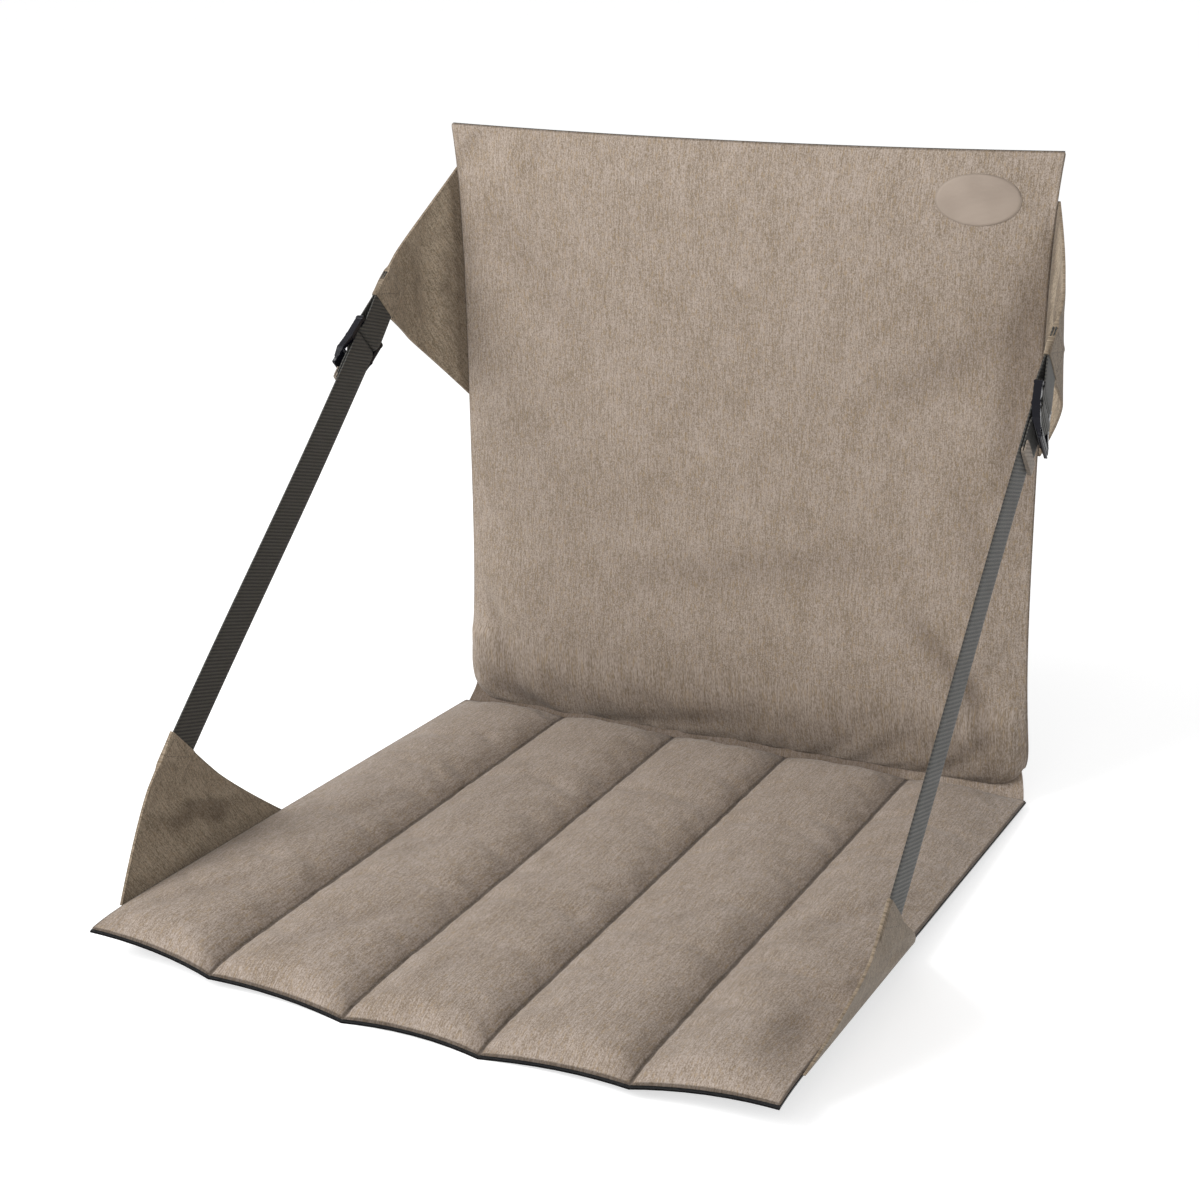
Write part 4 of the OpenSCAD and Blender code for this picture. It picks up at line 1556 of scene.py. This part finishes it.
@dataclass
class Wing:
    """A wing of doubled cloth that runs from a sewn root to the webbing in its tip."""

    finishes: Finishes
    line: StrapLine
    name: str
    seed: float
    node: str = ""
    rests_on: str = ""
    way: float = 1.0
    bow_axis: int = 2
    hollow: float = 0.005
    splay_power: float = 1.4
    splayed_at: float = 0.66
    calm_at: float = 0.35
    root_shade: float = 0.3
    outer_shade: float = 0.8
    fold_depth: float = 0.0036
    root_half: float = 0.0008
    root_length: float = 0.16
    tip_half: float = 0.0016
    tip_half_width: float = 0.0145
    webbing_half: float = 0.0122
    webbing_end: float = 0.0205
    hem: float = 0.004

    @property
    def tip(self) -> Array:
        """Middle of the tip's edge."""
        raise NotImplementedError

    def root(self, s: Array) -> Array:
        """Points of the root, where the wing is sewn on."""
        raise NotImplementedError

    def attach(self, piece: Object) -> None:
        """Says which bodies carry a piece of the wing."""
        raise NotImplementedError

    def folds(self, s: Array, t: Array) -> Array:
        """Soft folds, as an outward offset."""
        calm = np.sin(np.pi * np.clip(t, 0, 1)) ** 1.3 * (1 - s * s) ** 0.7
        wave = np.sin(2 * np.pi * (2.1 * t + 0.16 * s) + self.seed)
        return calm * self.fold_depth * (wave + 0.8 * ripple(3 * s, 4 * t, self.seed))

    def middle(self, s: Array, t: Array) -> Array:
        """Points half way between the two skins, between a straight root and tip edge with hollowed sides."""
        sign, root = self.line.side.sign, self.root(s)
        tip = self.tip + self.way * np.outer(s * self.tip_half_width, self.line.across)
        points = root + (tip - root) * t[:, None]
        splay = 1 - (1 - np.minimum(t / self.splayed_at, 1)) ** self.splay_power
        points[:, 0] = root[:, 0] + (sign * self.line.x - root[:, 0]) * splay
        points[:, 0] += sign * self.folds(s, t) * (1 - smooth(self.calm_at, self.splayed_at, t))
        points[:, self.bow_axis] -= self.hollow * s * 4 * t * (1 - t)
        return points

    def width(self, t: Array) -> Array:
        """Width of the wing at stations from root to tip."""
        ones = np.ones_like(t)
        return np.linalg.norm(self.middle(ones, t) - self.middle(-ones, t), axis=1)

    def half_thickness(self, points: Array) -> Array:
        """Half the thickness, which is fuller where the webbing lies inside."""
        off = points - self.tip
        beside, inside = np.abs(off @ self.line.across), np.abs(off @ self.line.along)
        cover = 1 - smooth(self.webbing_half, self.tip_half_width, beside)
        cover *= 1 - smooth(self.webbing_end, self.webbing_end + 0.005, inside)
        return self.root_half + (self.tip_half - self.root_half) * cover

    def skin(self, s: Array, t: Array, way: float) -> Array:
        """One skin of the wing.

        Args:
            s: Stations along the root, from -1 to 1.
            t: Stations from the root at 0 to the tip at 1.
            way: 1 for the outer skin, -1 for the inner one.

        Returns:
            The points.
        """
        points = self.middle(s, t)
        points[:, 0] += way * self.line.side.sign * self.half_thickness(points)
        return points

    def area(self) -> tuple[Place, float]:
        """Measures the cut, and returns its width and length, and its area."""
        s, t = np.meshgrid(np.linspace(-1, 1, 41), np.linspace(0, 1, 41), indexing="ij")
        grid = self.middle(s.ravel(), t.ravel()).reshape(41, 41, 3)
        a, b = np.diff(grid, axis=0)[:, :-1], np.diff(grid, axis=1)[:-1]
        area = float(np.sum(np.linalg.norm(np.cross(a, b), axis=2)))
        reach = float(np.linalg.norm(grid[20, -1] - grid[20, 0]))
        return (self.root_length, max(reach, area / self.root_length * 1.01)), area

    def build_cloth(self) -> Object:
        """Models the two skins as one closed piece, with painted shade in its folds, along its root, on its rims and
        over its outer skin, and darker in random patches.

        Returns:
            The piece.
        """
        across = eased(64, 0.5)
        along = np.unique(np.concatenate([np.linspace(0, 0.6, 34), np.linspace(0.6, 1.0, 40)]))
        obj = doubled_sheet(self.name, across, along, lambda s, t: self.skin(s, t, 1.0),
                            lambda s, t: self.skin(s, t, -1.0), lambda s, t: self.middle(s, t)[:, 1:])
        s, t = (np.tile(grid.ravel(), 2) for grid in np.meshgrid(across, along))
        write_values(obj, SEAM_GAP, (1 - np.abs(s)) * self.width(t) / 2)
        # Painted shade: in the folds' hollows, darker in random patches, on the rims and, below, along the root and
        # over the whole outer skin, which turns from the light.
        hollow = smooth(0.1, -0.9, self.folds(s, t) / self.fold_depth) * (1 - smooth(0.4, 0.7, t))
        hollow += 0.45 * smooth(0.1, 0.9, ripple(5 * s, 9 * t, self.seed + 2)) + 0.5 * smooth(0.97, 1.0, np.abs(s))
        outer = (coords(obj)[:, 0] - self.middle(s, t)[:, 0]) * self.line.side.sign > 0
        shaded = 0.75 * hollow + self.root_shade * smooth(0.14, 0.05, t) + self.outer_shade * outer
        write_values(obj, FOLD_SHADE, np.clip(shaded, 0, 0.85))
        shade(obj, 60.0)
        return obj

    def row(self, start: Place, end: Place, way: float) -> Row:
        """One straight row of stitches on a skin near the tip.

        Args:
            start: Distance beside the strap's line and down from the tip's edge.
            end: The same for the row's end.
            way: 1 for the outer skin, -1 for the inner one.

        Returns:
            The points and normals.
        """
        beside, inside = (np.linspace(a, b, 12) for a, b in zip(start, end))
        points = self.tip + np.outer(beside, self.line.across) + np.outer(inside, self.way * self.line.along)
        points[:, 0] = self.line.side.sign * (self.line.x + way * (self.tip_half + 0.0001))
        return points, np.tile([way * self.line.side.sign, 0.0, 0.0], (12, 1))

    def tack(self) -> list[tuple[Place, Place]]:
        """Rows that hold the webbing: a box with a cross."""
        a, b, c, d = (-0.0095, 0.003), (0.0095, 0.003), (0.0095, 0.018), (-0.0095, 0.018)
        return [(a, b), (b, c), (c, d), (d, a), (a, c), (b, d)]

    def build_stitches(self) -> Object:
        """Sews the webbing into the tip, and rows along the wing's edges.

        Returns:
            The stitches.
        """
        rows, t = [], np.linspace(0.02, 0.97, 60)
        for way in (-1.0, 1.0):
            rows.extend(self.row(start, end, way) for start, end in self.tack())
            for s in (-1.0, 1.0):
                points = self.skin(s * (1 - 2 * self.hem / self.width(t)), t, way)
                rows.append((points, np.tile([way * self.line.side.sign, 0.0, 0.0], (len(t), 1))))
        return Needlework(0.0024, 0.0032, 0.0004).sew(f"{self.name}_stitches", rows)

    def build(self) -> None:
        """Builds and dresses the wing."""
        cloth = self.build_cloth()
        dress(cloth, self.finishes.wing_cloth, "wing_cloth", self.node)
        flat, area = self.area()
        self.attach(cloth)
        stitches = self.build_stitches()
        dress(stitches, self.finishes.dark_thread, "wing_cloth")
        self.attach(stitches)


@dataclass
class SeatWing(Wing):
    """A wing at the side of the seat."""

    rests_on: str = "seat_pad"
    way: float = -1.0
    bow_axis: int = 1
    hollow: float = 0.002
    fold_depth: float = 0.0016
    root_at: tuple[float, float, float] = (0.211, -0.102, 0.0045)

    @property
    def tip(self) -> Array:
        """Middle of the tip's edge."""
        return np.array([self.line.side.sign * self.line.x, self.line.low[0], self.line.low[1] + self.line.low_shift])

    def root(self, s: Array) -> Array:
        """Points of the root, along the lifted side of the seat."""
        x, y, rise = self.root_at
        y = y + s * self.root_length / 2
        z = Seat.lift * (Seat.half_depth - y) / (2 * Seat.half_depth) + rise
        return np.stack([np.full_like(s, self.line.side.sign * x), y, z], axis=1)

    def tack(self) -> list[tuple[Place, Place]]:
        """Rows that hold the webbing: a triangle along the front edge."""
        a, b, c = (0.011, 0.003), (0.011, 0.015), (-0.0105, 0.005)
        return [(a, b), (b, c), (c, a)]

    def attach(self, piece: Object) -> None:
        """Hangs a piece on the seat."""
        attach(piece, "seat")


@dataclass
class BackWing(Wing):
    """A wing at the side of the back."""

    rests_on: str = "back_pad"
    root_length: float = 0.157
    root_shade: float = 0.9
    tip_half: float = 0.0021
    root_at: tuple[float, float, float] = (0.0003, 0.2189, 0.312)

    @property
    def tip(self) -> Array:
        """Middle of the tip's edge."""
        return np.array([self.line.side.sign * self.line.x, *self.line.top])

    def root(self, s: Array) -> Array:
        """Points of the root, along the drawn-in side of the back."""
        out, y, z = self.root_at
        z = z + s * self.root_length / 2
        v = 2 * (z - Back.low) / Back.height - 1
        x = Back.half_width - Back.draw * (1 - v ** 4) + out
        return np.stack([self.line.side.sign * x, np.full_like(s, y), z], axis=1)

    def attach(self, piece: Object) -> None:
        """Bakes a piece's placement into its mesh."""
        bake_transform(piece)


@dataclass
class SideStrap:
    """Everything on one side of the chair: two wings, the strap, its anchor loop and the buckle."""

    finishes: Finishes
    side: Side

    def build(self) -> None:
        """Builds and dresses the side."""
        side, sign = self.side.value, self.side.sign
        line = StrapLine(self.side)
        SeatWing(self.finishes, line, f"seat_wing_cloth_{side}", 1.0 + sign, f"seat_wing_{side}").build()
        BackWing(self.finishes, line, f"back_wing_cloth_{side}", 4.0 + sign, f"back_wing_{side}").build()
        webbing = Webbing(line)
        strap, length = webbing.build_strap()
        dress(strap, self.finishes.webbing, "webbing", f"strap_{side}")
        line.point(-0.19)
        line.point(-0.034)
        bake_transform(strap)
        loop, length = webbing.build_anchor()
        dress(loop, self.finishes.webbing, "webbing", f"anchor_loop_{side}")
        line.point(0.032)
        line.point(0.017)
        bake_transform(loop)
        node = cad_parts[f"buckle_{side}"]
        node.data.materials.clear()
        node.data.materials.append(self.finishes.plastic)
        LOG.info("buckle_%s: dressed", side)


# ---- Studio


@dataclass
class Studio:
    """Floor, light and camera."""

    place: tuple[float, float, float] = (0.54043, -1.03874, 0.58436)
    azimuth: float = 27.0947
    elevation: float = 19.101
    roll: float = -0.7923
    lens: float = 63.931
    floor_half: float = 40.0
    surround: float = 0.6
    aim: tuple[float, float, float] = (0, 0.02, 0.15)
    lamps: tuple[tuple[str, tuple[float, float, float], float, float], ...] = (
        ("key", (-1.1, -1.1, 1.4), 1.3, 40.0), ("fill", (0.6, -2.1, 1.2), 1.4, 9.0))

    def build_floor(self) -> None:
        """Lays a wide plain pale floor."""
        bpy.ops.mesh.primitive_plane_add(size=2.0)
        floor = bpy.context.active_object
        floor.name = floor.data.name = "floor"
        set_coords(floor, coords(floor) * self.floor_half)
        floor.data.materials.append(StudioFloor("studio_floor").build())

    def build_light(self) -> None:
        """Sets a pale surround and two soft lamps."""
        world = bpy.data.worlds.new("studio")
        bpy.context.scene.world = world
        world.use_nodes = True
        settle(world.node_tree.nodes["Background"], {"Color": WHITE, "Strength": self.surround})
        for name, place, size, energy in self.lamps:
            lamp = bpy.data.lights.new(name, "AREA")
            lamp.size = size
            lamp.energy = energy
            obj = bpy.data.objects.new(name, lamp)
            obj.location = place
            obj.rotation_euler = (Vector(self.aim) - Vector(place)).to_track_quat("-Z", "Y").to_euler()
            bpy.context.scene.collection.objects.link(obj)

    def build_camera(self) -> None:
        """Places the camera at the photograph's viewing angle."""
        camera = bpy.data.cameras.new("camera")
        camera.sensor_width = 36.0
        camera.lens = self.lens
        obj = bpy.data.objects.new("camera", camera)
        obj.location = self.place
        level = Euler((math.radians(90 - self.elevation), 0.0, math.radians(self.azimuth))).to_matrix()
        obj.rotation_euler = (level @ Matrix.Rotation(math.radians(self.roll), 3, "Z")).to_euler()
        bpy.context.scene.collection.objects.link(obj)
        bpy.context.scene.camera = obj

    def build(self) -> None:
        """Builds the studio."""
        self.build_floor()
        self.build_light()
        self.build_camera()
        bpy.context.scene.view_settings.view_transform = "Standard"


def main() -> None:
    """Builds the chair in order."""
    logging.basicConfig(level=logging.INFO, format="%(message)s")
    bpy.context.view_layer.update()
    Studio().build()
    finishes = Finishes()
    Seat(finishes).build()
    Back(finishes).build()
    for side in Side:
        SideStrap(finishes, side).build()


if __name__ == "__main__":
    main()
